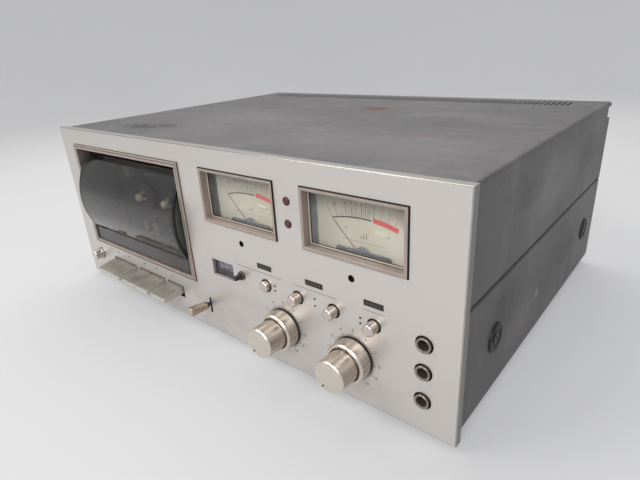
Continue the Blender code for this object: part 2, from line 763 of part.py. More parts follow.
def front_panel():
    """The thick panel with its turned-back rim and all its cut-outs."""
    sides = (-PANEL_HALF, PANEL_HALF)
    panel = box("front_panel", sides, (0, PANEL_RIM_DEPTH), (0, PANEL_HEIGHT))
    shape = bmesh.new()
    shape.from_mesh(panel.data)
    front = min(vertex.co.y for vertex in shape.verts)
    edges = [edge for edge in shape.edges if all(abs(end.co.y - front) < SEAT_GAP for end in edge.verts)]
    bmesh.ops.bevel(shape, geom=edges, offset=PANEL_BEVEL, segments=2, profile=0.5, affect="EDGES")
    shape.to_mesh(panel.data)
    shape.free()
    wall = PANEL_RIM_WALL
    inside = (-PANEL_HALF + wall, PANEL_HALF - wall)
    back = (PANEL_PLATE, PANEL_RIM_DEPTH + OVERRUN)
    cut(panel, box("tray", inside, back, (wall, PANEL_HEIGHT - wall), helper=True))
    cut(panel, window("bezel", SLEEVE_X, PANEL_CUT, SLEEVE_HEIGHT))
    for side, left, right in METER_SLEEVES:
        cut(panel, window("meter_" + side, (left, right), PANEL_CUT, METER_SLEEVE_HEIGHT))
    for name, left, right in KEY_SLOTS:
        cut(panel, window("slot_" + name, (left, right), PANEL_CUT, (KEY_SLOT_LOW, KEY_SLOT_HIGH), gap=0))
    lever_x = (LEVER_X - LEVER_SLOT_WIDTH / 2, LEVER_X + LEVER_SLOT_WIDTH / 2)
    cut(panel, window("slot_lever", lever_x, PANEL_CUT, (LEVER_SLOT_LOW, LEVER_SLOT_HIGH), gap=0))
    counter_x = (COUNTER_LEFT, COUNTER_RIGHT)
    cut(panel, window("counter", counter_x, PANEL_CUT, (COUNTER_LOW, COUNTER_HIGH), gap=0))
    collar = (-RESET_COLLAR, PANEL_PLATE / 2)
    join(panel, rod("collar", "Y", RESET_COLLAR_RADIUS, (RESET_X, RESET_HEIGHT), collar, helper=True))
    cut(panel, hole("reset", RESET_RADIUS, RESET_X, RESET_HEIGHT, PANEL_CUT, sides=SMALL_SIDES))
    cut(panel, hole("power", POWER_RADIUS, POWER_X, POWER_HEIGHT, PANEL_CUT, gap=POWER_HOLE_GAP))
    for x in PUSH_PLACES:
        cut(panel, hole("push", PUSH_RADIUS, x, PUSH_HEIGHT, PANEL_CUT, gap=PUSH_HOLE_GAP))
    for _, x in KNOB_PLACES:
        cut(panel, hole("knob", RING_SLEEVE_RADIUS, x, KNOB_HEIGHT, PANEL_CUT, gap=RUNNING_GAP))
    for _, height in JACK_HEIGHTS:
        cut(panel, hole("jack", JACK_HOLE_RADIUS, JACK_X, height, PANEL_CUT, gap=0))
    for _, height in LAMP_PLACES:
        cut(panel, hole("lamp", LAMP_RADIUS, LAMP_X, height, PANEL_CUT, sides=SMALL_SIDES))
    for x, height in ADJUSTER_PLACES:
        cut(panel, hole("adjuster", ADJUSTER_RADIUS, x, height, PANEL_CUT, gap=0, sides=SMALL_SIDES))
    return dress(panel, SILVER, 0.35, 0.6)


def front_frame():
    """The steel plate behind the panel, which carries its sockets, pots, meters and lever."""
    middle = FRAME_DEPTH + FRAME_SHEET / 2
    low = INNER_LOW + FRAME_SHEET / 2
    line = [(middle + FRAME_FOOT, low), (middle, low), (middle, INNER_HIGH)]
    frame = sheet("front_frame", "X", line, (-INNER_HALF, INNER_HALF), FRAME_SHEET)
    cut(frame, window("frame_bezel", SLEEVE_X, FRAME_CUT, SLEEVE_HEIGHT))
    for side, left, right in METER_SLEEVES:
        cut(frame, window("frame_meter_" + side, (left, right), FRAME_CUT, METER_BODY_HEIGHT))
    cut(frame, window("frame_counter", COUNTER_X, FRAME_CUT, COUNTER_HEIGHT))
    keys = (KEY_SLOT_LOW, KEY_SLOT_HIGH)
    cut(frame, window("frame_keys", KEYS_X, FRAME_CUT, keys, gap=KEY_FRAME_MARGIN))
    thick = LEVER_STEM_THICK / 2 + RUNNING_GAP
    lever_slot = (LEVER_SLOT_LOW, LEVER_SLOT_HIGH)
    cut(frame, window("frame_lever", (LEVER_X - thick, LEVER_X + thick), FRAME_CUT, lever_slot, gap=0))
    for x in PUSH_PLACES:
        cut(frame, hole("frame_push", PUSH_STEM_RADIUS, x, PUSH_HEIGHT, FRAME_CUT, sides=SMALL_SIDES))
    for _, x in KNOB_PLACES:
        cut(frame, hole("frame_pot", POT_BUSH_RADIUS, x, KNOB_HEIGHT, FRAME_CUT, sides=SMALL_SIDES))
    for _, height in JACK_HEIGHTS:
        cut(frame, hole("frame_jack", JACK_BUSH_RADIUS, JACK_X, height, FRAME_CUT, sides=SMALL_SIDES))
    power = (POWER_X, POWER_HEIGHT)
    cut(frame, hole("frame_power", POWER_STEM_RADIUS, *power, FRAME_CUT, sides=SMALL_SIDES))
    ear = (LEVER_X - thick - LEVER_EAR, LEVER_X - thick)
    ear_depth = (middle, LEVER_PIVOT_DEPTH + LEVER_EYE_RADIUS)
    ear_height = (LEVER_PIVOT_HEIGHT - LEVER_EYE_RADIUS, LEVER_PIVOT_HEIGHT + LEVER_EYE_RADIUS)
    pivot = (LEVER_PIVOT_DEPTH, LEVER_PIVOT_HEIGHT)
    pin = (ear[0] + LEVER_EAR / 2, LEVER_X + thick + LEVER_EAR)
    join(frame, box("lever_ear", ear, ear_depth, ear_height, helper=True))
    join(frame, rod("lever_pin", "X", LEVER_PIN_RADIUS, pivot, pin, helper=True, sides=SMALL_SIDES))
    return dress(frame, STEEL, 0.4, 0.9)


def cassette_bezel():
    """The bezel round the cassette well, with side ears that carry the visor's pivot pins."""
    flange = (-BEZEL_PROUD, -SEAT_GAP)
    outer_x = (BEZEL_LEFT, BEZEL_RIGHT)
    bezel = box("cassette_bezel", outer_x, flange, (BEZEL_LOW, BEZEL_HIGH))
    inner_x = (SLEEVE_X[0] + BEZEL_WALL, SLEEVE_X[1] - BEZEL_WALL)
    inner_height = (SLEEVE_HEIGHT[0] + BEZEL_WALL, SLEEVE_HEIGHT[1] - BEZEL_WALL)
    join(bezel, box("sleeve", SLEEVE_X, (-BEZEL_PROUD / 2, BEZEL_BACK), SLEEVE_HEIGHT, helper=True))
    ears = (DOOR_PIVOT_HEIGHT - EAR_HALF, DOOR_PIVOT_HEIGHT + EAR_HALF)
    ear_depth = (BEZEL_BACK - BEZEL_WALL, DOOR_PIVOT_DEPTH + EAR_REACH)
    join(bezel, box("ears", SLEEVE_X, ear_depth, ears, helper=True))
    through = (-BEZEL_PROUD - OVERRUN, DOOR_PIVOT_DEPTH + EAR_REACH + OVERRUN)
    cut(bezel, box("well", inner_x, through, inner_height, helper=True))
    roof = (inner_height[1] - BEZEL_WALL, SLEEVE_HEIGHT[1] + OVERRUN)
    roof_depth = (BEZEL_ROOF_BACK, BEZEL_BACK + OVERRUN)
    cut(bezel, box("roof_gap", inner_x, roof_depth, roof, helper=True))
    pivot = (DOOR_PIVOT_DEPTH, DOOR_PIVOT_HEIGHT)
    for wall, inwards in ((inner_x[0], 1), (inner_x[1], -1)):
        root = wall - inwards * BEZEL_WALL / 2
        shoulder = sorted((root, wall + inwards * (DOOR_SIDE_GAP - SEAT_GAP)))
        reach = sorted((root, wall + inwards * DOOR_PIN_REACH))
        join(bezel, rod("shoulder", "X", DOOR_SHOULDER_RADIUS, pivot, shoulder, helper=True))
        join(bezel, rod("door_pin", "X", DOOR_PIN_RADIUS, pivot, reach, helper=True, sides=SMALL_SIDES))
    return dress(bezel, TAUPE, 0.5, 0.2)


def cassette_door():
    """The smoked visor: a drum-shaped window with a flat lip below and a cheek at each end."""
    pivot = (DOOR_PIVOT_DEPTH, DOOR_PIVOT_HEIGHT)
    inner_radius = DOOR_RADIUS - DOOR_SKIN
    front = DOOR_PIVOT_DEPTH
    lower_turn = math.degrees(math.asin(front / DOOR_RADIUS))
    outline = arc(pivot, DOOR_RADIUS, 180 - DOOR_TOP_TURN, 270 - lower_turn, 4 * CORNER_STEPS)
    outline += [(0, DOOR_LIP_BOTTOM), (DOOR_LIP_THICK, DOOR_LIP_BOTTOM)]
    lip_top = DOOR_PIVOT_HEIGHT - math.sqrt(inner_radius**2 - (front - DOOR_LIP_THICK) ** 2)
    outline.append((DOOR_LIP_THICK, lip_top + DOOR_SKIN))
    outline += arc(pivot, DOOR_BOSS_RADIUS, -90, 45, 2 * CORNER_STEPS)
    left = SLEEVE_X[0] + BEZEL_WALL + DOOR_SIDE_GAP
    right = SLEEVE_X[1] - BEZEL_WALL - DOOR_SIDE_GAP
    door = slab("cassette_door", "X", outline, (left, right))
    hollow = (left + DOOR_CHEEK, right - DOOR_CHEEK)
    cut(door, rod("drum", "X", inner_radius, pivot, hollow, helper=True, sides=2 * ROUND_SIDES))
    bore = (left - OVERRUN, right + OVERRUN)
    pin_hole = rod("pin_hole", "X", DOOR_PIN_RADIUS + SEAT_GAP, pivot, bore, True, SMALL_SIDES)
    cut(door, pin_hole)
    set_origin(door, at(0, *pivot))
    return dress(door, SMOKE, 0.1, 0.0, 0.35)


def rear_panel():
    """The back plate, set in from the case's edge, with its socket and inlet holes."""
    middle = REAR_DEPTH - REAR_SHEET / 2
    low = INNER_LOW + REAR_SHEET / 2
    high = INNER_HIGH - REAR_SHEET / 2
    line = [(middle - REAR_FLANGE, low), (middle, low), (middle, high), (middle - REAR_FLANGE, high)]
    back = sheet("rear_panel", "X", line, (-INNER_HALF, INNER_HALF), REAR_SHEET)
    through = (REAR_DEPTH - REAR_SHEET - OVERRUN, REAR_DEPTH + OVERRUN)
    for x, height in socket_places():
        cut(back, hole("socket", SOCKET_RADIUS, x, height, through, sides=SMALL_SIDES))
    half, tall = INLET_WIDTH / 2, INLET_TALL / 2
    x = (INLET_X - half, INLET_X + half)
    height = (INLET_HEIGHT - tall, INLET_HEIGHT + tall)
    wall = INLET_WALL
    shell_x = (x[0] - wall, x[1] + wall)
    shell_height = (height[0] - wall, height[1] + wall)
    shell = (middle - INLET_DEPTH, REAR_DEPTH + wall)
    join(back, box("inlet_shell", shell_x, shell, shell_height, helper=True))
    cut(back, box("inlet", x, (shell[0] + wall, REAR_DEPTH + wall + OVERRUN), height, helper=True))
    for side in (-1, 1):
        pin = INLET_X + side * PIN_PITCH
        pin_x = (pin - PIN_WIDTH / 2, pin + PIN_WIDTH / 2)
        pin_height = (INLET_HEIGHT - PIN_TALL / 2, INLET_HEIGHT + PIN_TALL / 2)
        join(back, box("inlet_pin", pin_x, (shell[0] + wall / 2, REAR_DEPTH), pin_height, helper=True))
    return dress(back, CASE_GREY, 0.5, 0.3)


def socket_places():
    """The centres of the four line sockets, in two rows."""
    half = SOCKET_PITCH / 2
    return [(SOCKET_X + i * half, SOCKET_HEIGHT + j * half) for i in (-1, 1) for j in (-1, 1)]

DECK_LINE = DECK_DEPTH + DECK_SHEET / 2
DECK_BACK = DECK_DEPTH + DECK_SHEET
AXLE_LUGS_X = (KEYS_X[0] - AXLE_LUG_SPACE, KEYS_X[1] + AXLE_LUG_SPACE)
BRIDGE_DEPTH = DECK_DEPTH - SEAT_GAP - BRIDGE_SHEET
PINCH_ARM_DEPTH = DECK_DEPTH - SEAT_GAP - PINCH_ARM_SHEET
REELS = (("supply", REEL_MIDDLE - REEL_PITCH / 2), ("takeup", REEL_MIDDLE + REEL_PITCH / 2))


def bridge_pins():
    """The two guide pins of the head bridge, on the deck plate."""
    height = (BRIDGE_LOW + BRIDGE_HIGH + BRIDGE_TRAVEL) / 2
    inset = BRIDGE_PIN_INSET
    return [(BRIDGE_LEFT + inset, height), (BRIDGE_RIGHT - inset, height)]


def deck_plate():
    """The transport's plate: bent foot, key axle lugs, bridge pins and the capstan's long bearing."""
    low = INNER_LOW + DECK_SHEET / 2
    line = [(DECK_LINE + DECK_FOOT, low), (DECK_LINE, low), (DECK_LINE, DECK_TOP)]
    deck = sheet("deck_plate", "X", line, (DECK_LEFT, DECK_RIGHT), DECK_SHEET)
    bearing = (DECK_LINE, CAPSTAN_BOSS_BACK)
    capstan = (CAPSTAN_X, CAPSTAN_HEIGHT)
    join(deck, rod("bearing", "Y", CAPSTAN_BOSS_RADIUS, capstan, bearing, True, SMALL_SIDES))
    lug_height = (KEY_AXLE_HEIGHT - AXLE_LUG_HALF, KEY_AXLE_HEIGHT + AXLE_LUG_HALF)
    lug_depth = (KEY_AXLE_DEPTH - AXLE_LUG_HALF, DECK_LINE)
    for edge, outwards in zip(AXLE_LUGS_X, (-1, 1)):
        lug = sorted((edge, edge + outwards * AXLE_LUG_SHEET))
        join(deck, box("axle_lug", lug, lug_depth, lug_height, helper=True))
    for place in bridge_pins():
        pin = (BRIDGE_DEPTH - BRIDGE_SHEET, DECK_LINE)
        join(deck, rod("bridge_pin", "Y", BRIDGE_PIN_RADIUS, place, pin, True, SMALL_SIDES))
    through = (DECK_DEPTH - OVERRUN, DECK_BACK + OVERRUN)
    for _, x in REELS:
        cut(deck, hole("reel", REEL_SHAFT_RADIUS, x, REEL_HEIGHT, through, sides=SMALL_SIDES))
    long_bore = (DECK_DEPTH - OVERRUN, CAPSTAN_BOSS_BACK + OVERRUN)
    cut(deck, hole("capstan", CAPSTAN_RADIUS, *capstan, long_bore, sides=SMALL_SIDES))
    pinch = (PINCH_PIVOT_X, PINCH_PIVOT_HEIGHT)
    cut(deck, hole("pinch", PINCH_PIN_RADIUS, *pinch, through, sides=SMALL_SIDES))
    axle = (KEY_AXLE_DEPTH, KEY_AXLE_HEIGHT)
    across = (AXLE_LUGS_X[0] - OVERRUN, AXLE_LUGS_X[1] + OVERRUN)
    cut(deck, rod("axle_hole", "X", KEY_AXLE_RADIUS + SEAT_GAP, axle, across, True, SMALL_SIDES))
    return dress(deck, STEEL, 0.4, 0.9)


def spindle(side, x):
    """A reel spindle: nosed hub with three drive lugs, a disc, and a shaft through the deck plate."""
    disc_back = DECK_DEPTH - RUNNING_GAP
    disc_front = disc_back - REEL_DISC
    profile = [
        (0, REEL_SHAFT_BACK),
        (REEL_SHAFT_RADIUS, REEL_SHAFT_BACK),
        (REEL_SHAFT_RADIUS, disc_back),
        (REEL_DISC_RADIUS, disc_back),
        (REEL_DISC_RADIUS, disc_front),
        (REEL_HUB_RADIUS, disc_front),
        (REEL_HUB_RADIUS, REEL_FRONT + REEL_NOSE),
        (REEL_NOSE_RADIUS, REEL_FRONT),
        (0, REEL_FRONT),
    ]
    reel = turned(side + "_spindle", "Y", (x, REEL_HEIGHT), profile, sides=SMALL_SIDES)
    for turn in (0, 120, 240):
        width = (x - REEL_LUG_WIDTH / 2, x + REEL_LUG_WIDTH / 2)
        height = (REEL_HEIGHT + REEL_HUB_RADIUS / 2, REEL_HEIGHT + REEL_LUG_REACH)
        lug_depth = (REEL_LUG_FRONT, disc_front + REEL_DISC / 2)
        lug = box("reel_lug", width, lug_depth, height, helper=True)
        set_origin(lug, at(x, 0, REEL_HEIGHT))
        lug.rotation_euler.y = math.radians(turn)
        join(reel, lug)
    return dress(reel, CREAM, 0.5)


def head_bridge():
    """The sliding plate that lifts the heads to the tape, on two slots."""
    depth = (BRIDGE_DEPTH, BRIDGE_DEPTH + BRIDGE_SHEET)
    bridge = box("head_bridge", (BRIDGE_LEFT, BRIDGE_RIGHT), depth, (BRIDGE_LOW, BRIDGE_HIGH))
    head_depth = (BRIDGE_DEPTH - HEAD_REACH, BRIDGE_DEPTH + BRIDGE_SHEET / 2)
    foot = BRIDGE_HIGH - HEAD_CROWN
    for name, x, width in (
        ("play_head", REEL_MIDDLE, HEAD_WIDTH),
        ("erase_head", REEL_MIDDLE - ERASE_OFFSET, ERASE_WIDTH),
    ):
        half = width / 2
        top = foot + HEAD_HEIGHT
        crown = arc((x, top - half), half, 0, 180, 2 * CORNER_STEPS)
        outline = [(x - half, foot), (x + half, foot)] + crown
        join(bridge, slab(name, "Y", outline, head_depth, helper=True))
    for x, height in bridge_pins():
        reach = BRIDGE_PIN_RADIUS + SEAT_GAP
        slot_height = (height - BRIDGE_TRAVEL - reach, height + reach)
        slot_depth = (depth[0] - OVERRUN, depth[1] + OVERRUN)
        cut(bridge, box("bridge_slot", (x - reach, x + reach), slot_depth, slot_height, helper=True))
    return dress(bridge, STEEL, 0.3, 0.9)


def pinch_roller_place():
    """The roller's rest place: swung down from where it would press on the capstan."""
    drop = CAPSTAN_RADIUS + SEAT_GAP + PINCH_ROLLER_RADIUS
    pivot = Vector((PINCH_PIVOT_X, PINCH_PIVOT_HEIGHT))
    pressed = Vector((CAPSTAN_X, CAPSTAN_HEIGHT - drop)) - pivot
    return pivot + Matrix.Rotation(math.radians(PINCH_TRAVEL), 2) @ pressed


def pinch_arm():
    """The arm that swings the pinch roller up to the capstan, with its pivot pin and roller axle."""
    roller = pinch_roller_place()
    pivot = Vector((PINCH_PIVOT_X, PINCH_PIVOT_HEIGHT))
    along_arm = math.degrees(math.atan2(roller.y - pivot.y, roller.x - pivot.x))
    outline = arc(tuple(pivot), PINCH_ARM_HALF, along_arm - 270, along_arm - 90, 2 * CORNER_STEPS)
    outline += arc(tuple(roller), PINCH_ARM_HALF, along_arm - 90, along_arm + 90, 2 * CORNER_STEPS)
    depth = (PINCH_ARM_DEPTH, PINCH_ARM_DEPTH + PINCH_ARM_SHEET)
    arm = slab("pinch_arm", "Y", outline, depth)
    pin = (depth[0] + PINCH_ARM_SHEET / 2, DECK_BACK + DECK_SHEET)
    join(arm, rod("pinch_pin", "Y", PINCH_PIN_RADIUS, tuple(pivot), pin, True, SMALL_SIDES))
    axle = (PINCH_ROLLER_FRONT - SEAT_GAP, pin[0])
    join(arm, rod("roller_axle", "Y", PINCH_PIN_RADIUS, tuple(roller), axle, True, SMALL_SIDES))
    set_origin(arm, at(PINCH_PIVOT_X, depth[0], PINCH_PIVOT_HEIGHT))
    return dress(arm, STEEL, 0.4, 0.9)


def pinch_roller():
    """The rubber pinch roller on the arm's axle."""
    back = PINCH_ARM_DEPTH - SEAT_GAP
    bore = PINCH_PIN_RADIUS + SEAT_GAP
    profile = [
        (PINCH_ROLLER_RADIUS, back),
        (PINCH_ROLLER_RADIUS, PINCH_ROLLER_FRONT),
        (bore, PINCH_ROLLER_FRONT),
        (bore, back),
    ]
    roller = turned("pinch_roller", "Y", tuple(pinch_roller_place()), profile, ring=True, sides=SMALL_SIDES)
    return dress(roller, RUBBER, 0.8)


def capstan_flywheel():
    """The capstan, one shaft with its heavy webbed flywheel."""
    rim = FLYWHEEL_RADIUS - FLYWHEEL_RIM
    web = (FLYWHEEL_FRONT + FLYWHEEL_BACK + FLYWHEEL_WEB) / 2
    profile = [
        (0, FLYWHEEL_BACK),
        (FLYWHEEL_HUB_RADIUS, FLYWHEEL_BACK),
        (FLYWHEEL_HUB_RADIUS, web),
        (rim, web),
        (rim, FLYWHEEL_BACK),
        (FLYWHEEL_RADIUS, FLYWHEEL_BACK),
        (FLYWHEEL_RADIUS, FLYWHEEL_FRONT),
        (rim, FLYWHEEL_FRONT),
        (rim, web - FLYWHEEL_WEB),
        (FLYWHEEL_HUB_RADIUS, web - FLYWHEEL_WEB),
        (FLYWHEEL_HUB_RADIUS, FLYWHEEL_FRONT),
        (CAPSTAN_RADIUS, FLYWHEEL_FRONT),
        (CAPSTAN_RADIUS, CAPSTAN_FRONT),
        (0, CAPSTAN_FRONT),
    ]
    return dress(turned("capstan_flywheel", "Y", (CAPSTAN_X, CAPSTAN_HEIGHT), profile), STEEL, 0.25, 0.9)


def motor():
    """The motor can behind the deck plate, bored for its pulley's shaft."""
    front = DECK_BACK + SEAT_GAP
    back = front + MOTOR_LENGTH
    stub = PULLEY_SHAFT_RADIUS + SEAT_GAP
    floor = back - PULLEY_SHAFT_REACH - SEAT_GAP
    profile = [
        (0, floor),
        (stub, floor),
        (stub, back + MOTOR_STUB),
        (2 * stub, back + MOTOR_STUB),
        (2 * stub, back),
        (MOTOR_RADIUS, back),
        (MOTOR_RADIUS, front),
        (0, front),
    ]
    return dress(turned("motor", "Y", (MOTOR_X, MOTOR_HEIGHT), profile), STEEL, 0.35, 0.9)


def motor_pulley():
    """The flanged pulley, one piece with its shaft in the motor."""
    groove = (BELT_FRONT - SEAT_GAP, BELT_FRONT + BELT_WIDTH + SEAT_GAP)
    flange = PULLEY_RADIUS + PULLEY_FLANGE
    shaft_end = DECK_BACK + SEAT_GAP + MOTOR_LENGTH - PULLEY_SHAFT_REACH
    profile = [
        (0, groove[1] + PULLEY_FLANGE),
        (flange, groove[1] + PULLEY_FLANGE),
        (flange, groove[1]),
        (PULLEY_RADIUS, groove[1]),
        (PULLEY_RADIUS, groove[0]),
        (flange, groove[0]),
        (flange, groove[0] - PULLEY_FLANGE),
        (PULLEY_SHAFT_RADIUS, groove[0] - PULLEY_FLANGE),
        (PULLEY_SHAFT_RADIUS, shaft_end),
        (0, shaft_end),
    ]
    pulley = turned("motor_pulley", "Y", (MOTOR_X, MOTOR_HEIGHT), profile, sides=SMALL_SIDES)
    return dress(pulley, CHAMPAGNE, 0.3, 0.9)


def belt_loop(grow):
    """The belt's path round flywheel and pulley, a clearance and some growth off both."""
    large, small = FLYWHEEL_RADIUS + SEAT_GAP + grow, PULLEY_RADIUS + SEAT_GAP + grow
    across, rise = CAPSTAN_X - MOTOR_X, CAPSTAN_HEIGHT - MOTOR_HEIGHT
    away = math.degrees(math.atan2(rise, across)) + 180
    lean = math.degrees(math.acos((large - small) / math.hypot(across, rise)))
    loop = arc((CAPSTAN_X, CAPSTAN_HEIGHT), large, away + lean, away + 360 - lean, ROUND_SIDES)
    return loop + arc((MOTOR_X, MOTOR_HEIGHT), small, away - lean, away + lean, 2 * CORNER_STEPS)


def drive_belt():
    """The flat belt round the flywheel's rim and the pulley's groove."""
    back = BELT_FRONT + BELT_WIDTH
    belt = slab("drive_belt", "Y", belt_loop(BELT_THICK), (BELT_FRONT, back))
    inside = (BELT_FRONT - OVERRUN, back + OVERRUN)
    cut(belt, slab("belt_inside", "Y", belt_loop(0), inside, helper=True))
    return dress(belt, RUBBER, 0.7)


def key(name, left, right):
    """A piano key: a hollow moulded cap with a sloping nose, on an eye round the axle."""
    outline = [
        (-KEY_REACH, KEY_NOSE_TOP - KEY_NOSE_FACE),
        (-KEY_REACH, KEY_NOSE_TOP),
        (0, KEY_TOP),
        (KEY_AXLE_DEPTH + KEY_EYE_RADIUS, KEY_TOP),
    ]
    axle = (KEY_AXLE_DEPTH, KEY_AXLE_HEIGHT)
    outline += arc(axle, KEY_EYE_RADIUS, 0, -180, 2 * CORNER_STEPS)
    outline += [(KEY_AXLE_DEPTH - KEY_EYE_RADIUS, KEY_UNDERSIDE), (0, KEY_UNDERSIDE)]
    cap = soften(slab(name, "X", outline, (left, right)), KEY_EDGE)
    wall = KEY_WALL
    hollow = [
        (-KEY_REACH + wall, KEY_NOSE_TOP - KEY_NOSE_FACE - OVERRUN),
        (-KEY_REACH + wall, KEY_NOSE_TOP - wall),
        (0, KEY_TOP - wall),
        (KEY_AXLE_DEPTH - KEY_EYE_RADIUS - wall, KEY_TOP - wall),
        (KEY_AXLE_DEPTH - KEY_EYE_RADIUS - wall, KEY_NOSE_TOP - KEY_NOSE_FACE - OVERRUN),
    ]
    cut(cap, slab("key_hollow", "X", hollow, (left + wall, right - wall), helper=True))
    bore = (left - OVERRUN, right + OVERRUN)
    cut(cap, rod("key_bore", "X", KEY_AXLE_RADIUS + SEAT_GAP, axle, bore, True, SMALL_SIDES))
    set_origin(cap, at((left + right) / 2, *axle))
    return dress(cap, KEY_GREY, 0.45)


def key_axle():
    """The rod that the keys turn on, through the deck plate's lugs."""
    ends = (AXLE_LUGS_X[0] - 2 * AXLE_LUG_SHEET, AXLE_LUGS_X[1] + 2 * AXLE_LUG_SHEET)
    centre = (KEY_AXLE_DEPTH, KEY_AXLE_HEIGHT)
    return dress(rod("key_axle", "X", KEY_AXLE_RADIUS, centre, ends, sides=SMALL_SIDES), STEEL, 0.3, 0.9)


def lever():
    """The timer lever: a thin stem through its slot with a flat paddle, tilted up at rest."""
    pivot = (LEVER_PIVOT_DEPTH, LEVER_PIVOT_HEIGHT)
    low, high = LEVER_PIVOT_HEIGHT - LEVER_STEM_HALF, LEVER_PIVOT_HEIGHT + LEVER_STEM_HALF
    eye = math.degrees(math.asin(LEVER_STEM_HALF / LEVER_EYE_RADIUS))
    outline = [(LEVER_ROOT_DEPTH - OVERRUN, high), (LEVER_ROOT_DEPTH - OVERRUN, low)]
    outline += arc(pivot, LEVER_EYE_RADIUS, eye - 180, 180 - eye, 4 * CORNER_STEPS)
    half = LEVER_STEM_THICK / 2
    piece = slab("lever", "X", outline, (LEVER_X - half, LEVER_X + half))
    root, tip = LEVER_ROOT_HALF, LEVER_TIP_HALF
    paddle = [
        (LEVER_TIP_DEPTH, LEVER_PIVOT_HEIGHT - tip),
        (LEVER_TIP_DEPTH, LEVER_PIVOT_HEIGHT + tip),
        (LEVER_ROOT_DEPTH, LEVER_PIVOT_HEIGHT + root),
        (LEVER_ROOT_DEPTH, LEVER_PIVOT_HEIGHT - root),
    ]
    half = LEVER_PADDLE_WIDTH / 2
    shape = slab("paddle", "X", paddle, (LEVER_X - half, LEVER_X + half), helper=True)
    tilt = Matrix.Rotation(math.radians(-LEVER_REST), 4, "X")
    for part in (piece, soften(shape, KEY_EDGE)):
        set_origin(part, at(LEVER_X, *pivot))
        part.data.transform(tilt)
    join(piece, shape)
    across = (LEVER_X - LEVER_STEM_THICK, LEVER_X + LEVER_STEM_THICK)
    cut(piece, rod("lever_eye", "X", LEVER_PIN_RADIUS + SEAT_GAP, pivot, across, True, SMALL_SIDES))
    return dress(piece, CHAMPAGNE, 0.35, 0.7)


def power_button():
    """The round power button, guided by its stem in the front frame."""
    profile = [
        (0, POWER_STEM_BACK),
        (POWER_STEM_RADIUS, POWER_STEM_BACK),
        (POWER_STEM_RADIUS, POWER_HEAD_BACK),
        (POWER_RADIUS, POWER_HEAD_BACK),
        (POWER_RADIUS, POWER_CROWN - POWER_REACH),
        (POWER_RADIUS - POWER_CROWN, -POWER_REACH),
        (0, -POWER_REACH),
    ]
    return dress(turned("power_button", "Y", (POWER_X, POWER_HEIGHT), profile), CHROME, 0.15, 1.0)

METER_MIDDLES = tuple((side, (left + right) / 2) for side, left, right in METER_SPANS)
LENS_DEPTH = METER_SLEEVE_BACK + SEAT_GAP
METER_BODY_DEPTH = LENS_DEPTH + METER_LENS + SEAT_GAP


def counter_wheel_span(index):
    """The place of a counter wheel across the deck, the first one at the right."""
    step = COUNTER_WHEEL_WIDTH + COUNTER_WHEEL_GAP
    middle = (COUNTER_LEFT + COUNTER_RIGHT) / 2 + (1 - index) * step
    return (middle - COUNTER_WHEEL_WIDTH / 2, middle + COUNTER_WHEEL_WIDTH / 2)


def counter_housing():
    """The counter's box, open to its window, with the fixed axle of the wheels."""
    front = PANEL_PLATE + SEAT_GAP
    housing = box("counter_housing", COUNTER_X, (front, COUNTER_BACK), COUNTER_HEIGHT)
    wall = COUNTER_WALL
    inside_x = (COUNTER_X[0] + wall, COUNTER_X[1] - wall)
    inside_height = (COUNTER_HEIGHT[0] + wall, COUNTER_HEIGHT[1] - wall)
    inside_depth = (front - OVERRUN, COUNTER_BACK - wall)
    cut(housing, box("counter_room", inside_x, inside_depth, inside_height, helper=True))
    centre = (COUNTER_AXLE_DEPTH, COUNTER_AXLE_HEIGHT)
    span = (COUNTER_X[0] + wall / 2, COUNTER_X[1] - wall / 2)
    join(housing, rod("counter_axle", "X", COUNTER_AXLE_RADIUS, centre, span, True, SMALL_SIDES))
    return dress(housing, BLACK, 0.6)


def counter_wheel(index):
    """A number wheel of the counter."""
    start, end = counter_wheel_span(index)
    bore = COUNTER_AXLE_RADIUS + SEAT_GAP
    radius = COUNTER_WHEEL_RADIUS
    profile = [(radius, end), (radius, start), (bore, start), (bore, end)]
    centre = (COUNTER_AXLE_DEPTH, COUNTER_AXLE_HEIGHT)
    name = ("counter_units", "counter_tens", "counter_hundreds")[index]
    wheel = turned(name, "X", centre, profile, ring=True)
    set_origin(wheel, at((start + end) / 2, *centre))
    return dress(wheel, BLACK, 0.5)


def reset_button():
    """The counter's reset pin in its collar, with a flange behind the panel."""
    flange = RESET_COLLAR_RADIUS
    profile = [
        (0, RESET_BACK),
        (flange, RESET_BACK),
        (flange, RESET_HEAD_BACK),
        (RESET_RADIUS, RESET_HEAD_BACK),
        (RESET_RADIUS, -RESET_REACH),
        (0, -RESET_REACH),
    ]
    button = turned("reset_button", "Y", (RESET_X, RESET_HEIGHT), profile, sides=SMALL_SIDES)
    return dress(button, BLACK, 0.4)


def meter_bezel(side, left, right):
    """A meter's bezel: a thin flange proud of the panel and a sleeve through it."""
    flange_x = (left - METER_LAP, right + METER_LAP)
    bezel = box("meter_bezel_" + side, flange_x, (-METER_PROUD, -SEAT_GAP), (METER_LOW, METER_HIGH))
    sleeve = (-METER_PROUD / 2, METER_SLEEVE_BACK)
    join(bezel, box("meter_sleeve", (left, right), sleeve, METER_SLEEVE_HEIGHT, helper=True))
    rim = METER_FLANGE - METER_LAP
    open_x = (left + rim, right - rim)
    open_height = (METER_SLEEVE_HEIGHT[0] + rim, METER_SLEEVE_HEIGHT[1] - rim)
    through = (-METER_PROUD - OVERRUN, METER_SLEEVE_BACK + OVERRUN)
    cut(bezel, box("meter_view", open_x, through, open_height, helper=True))
    return dress(bezel, TAUPE, 0.45, 0.3)


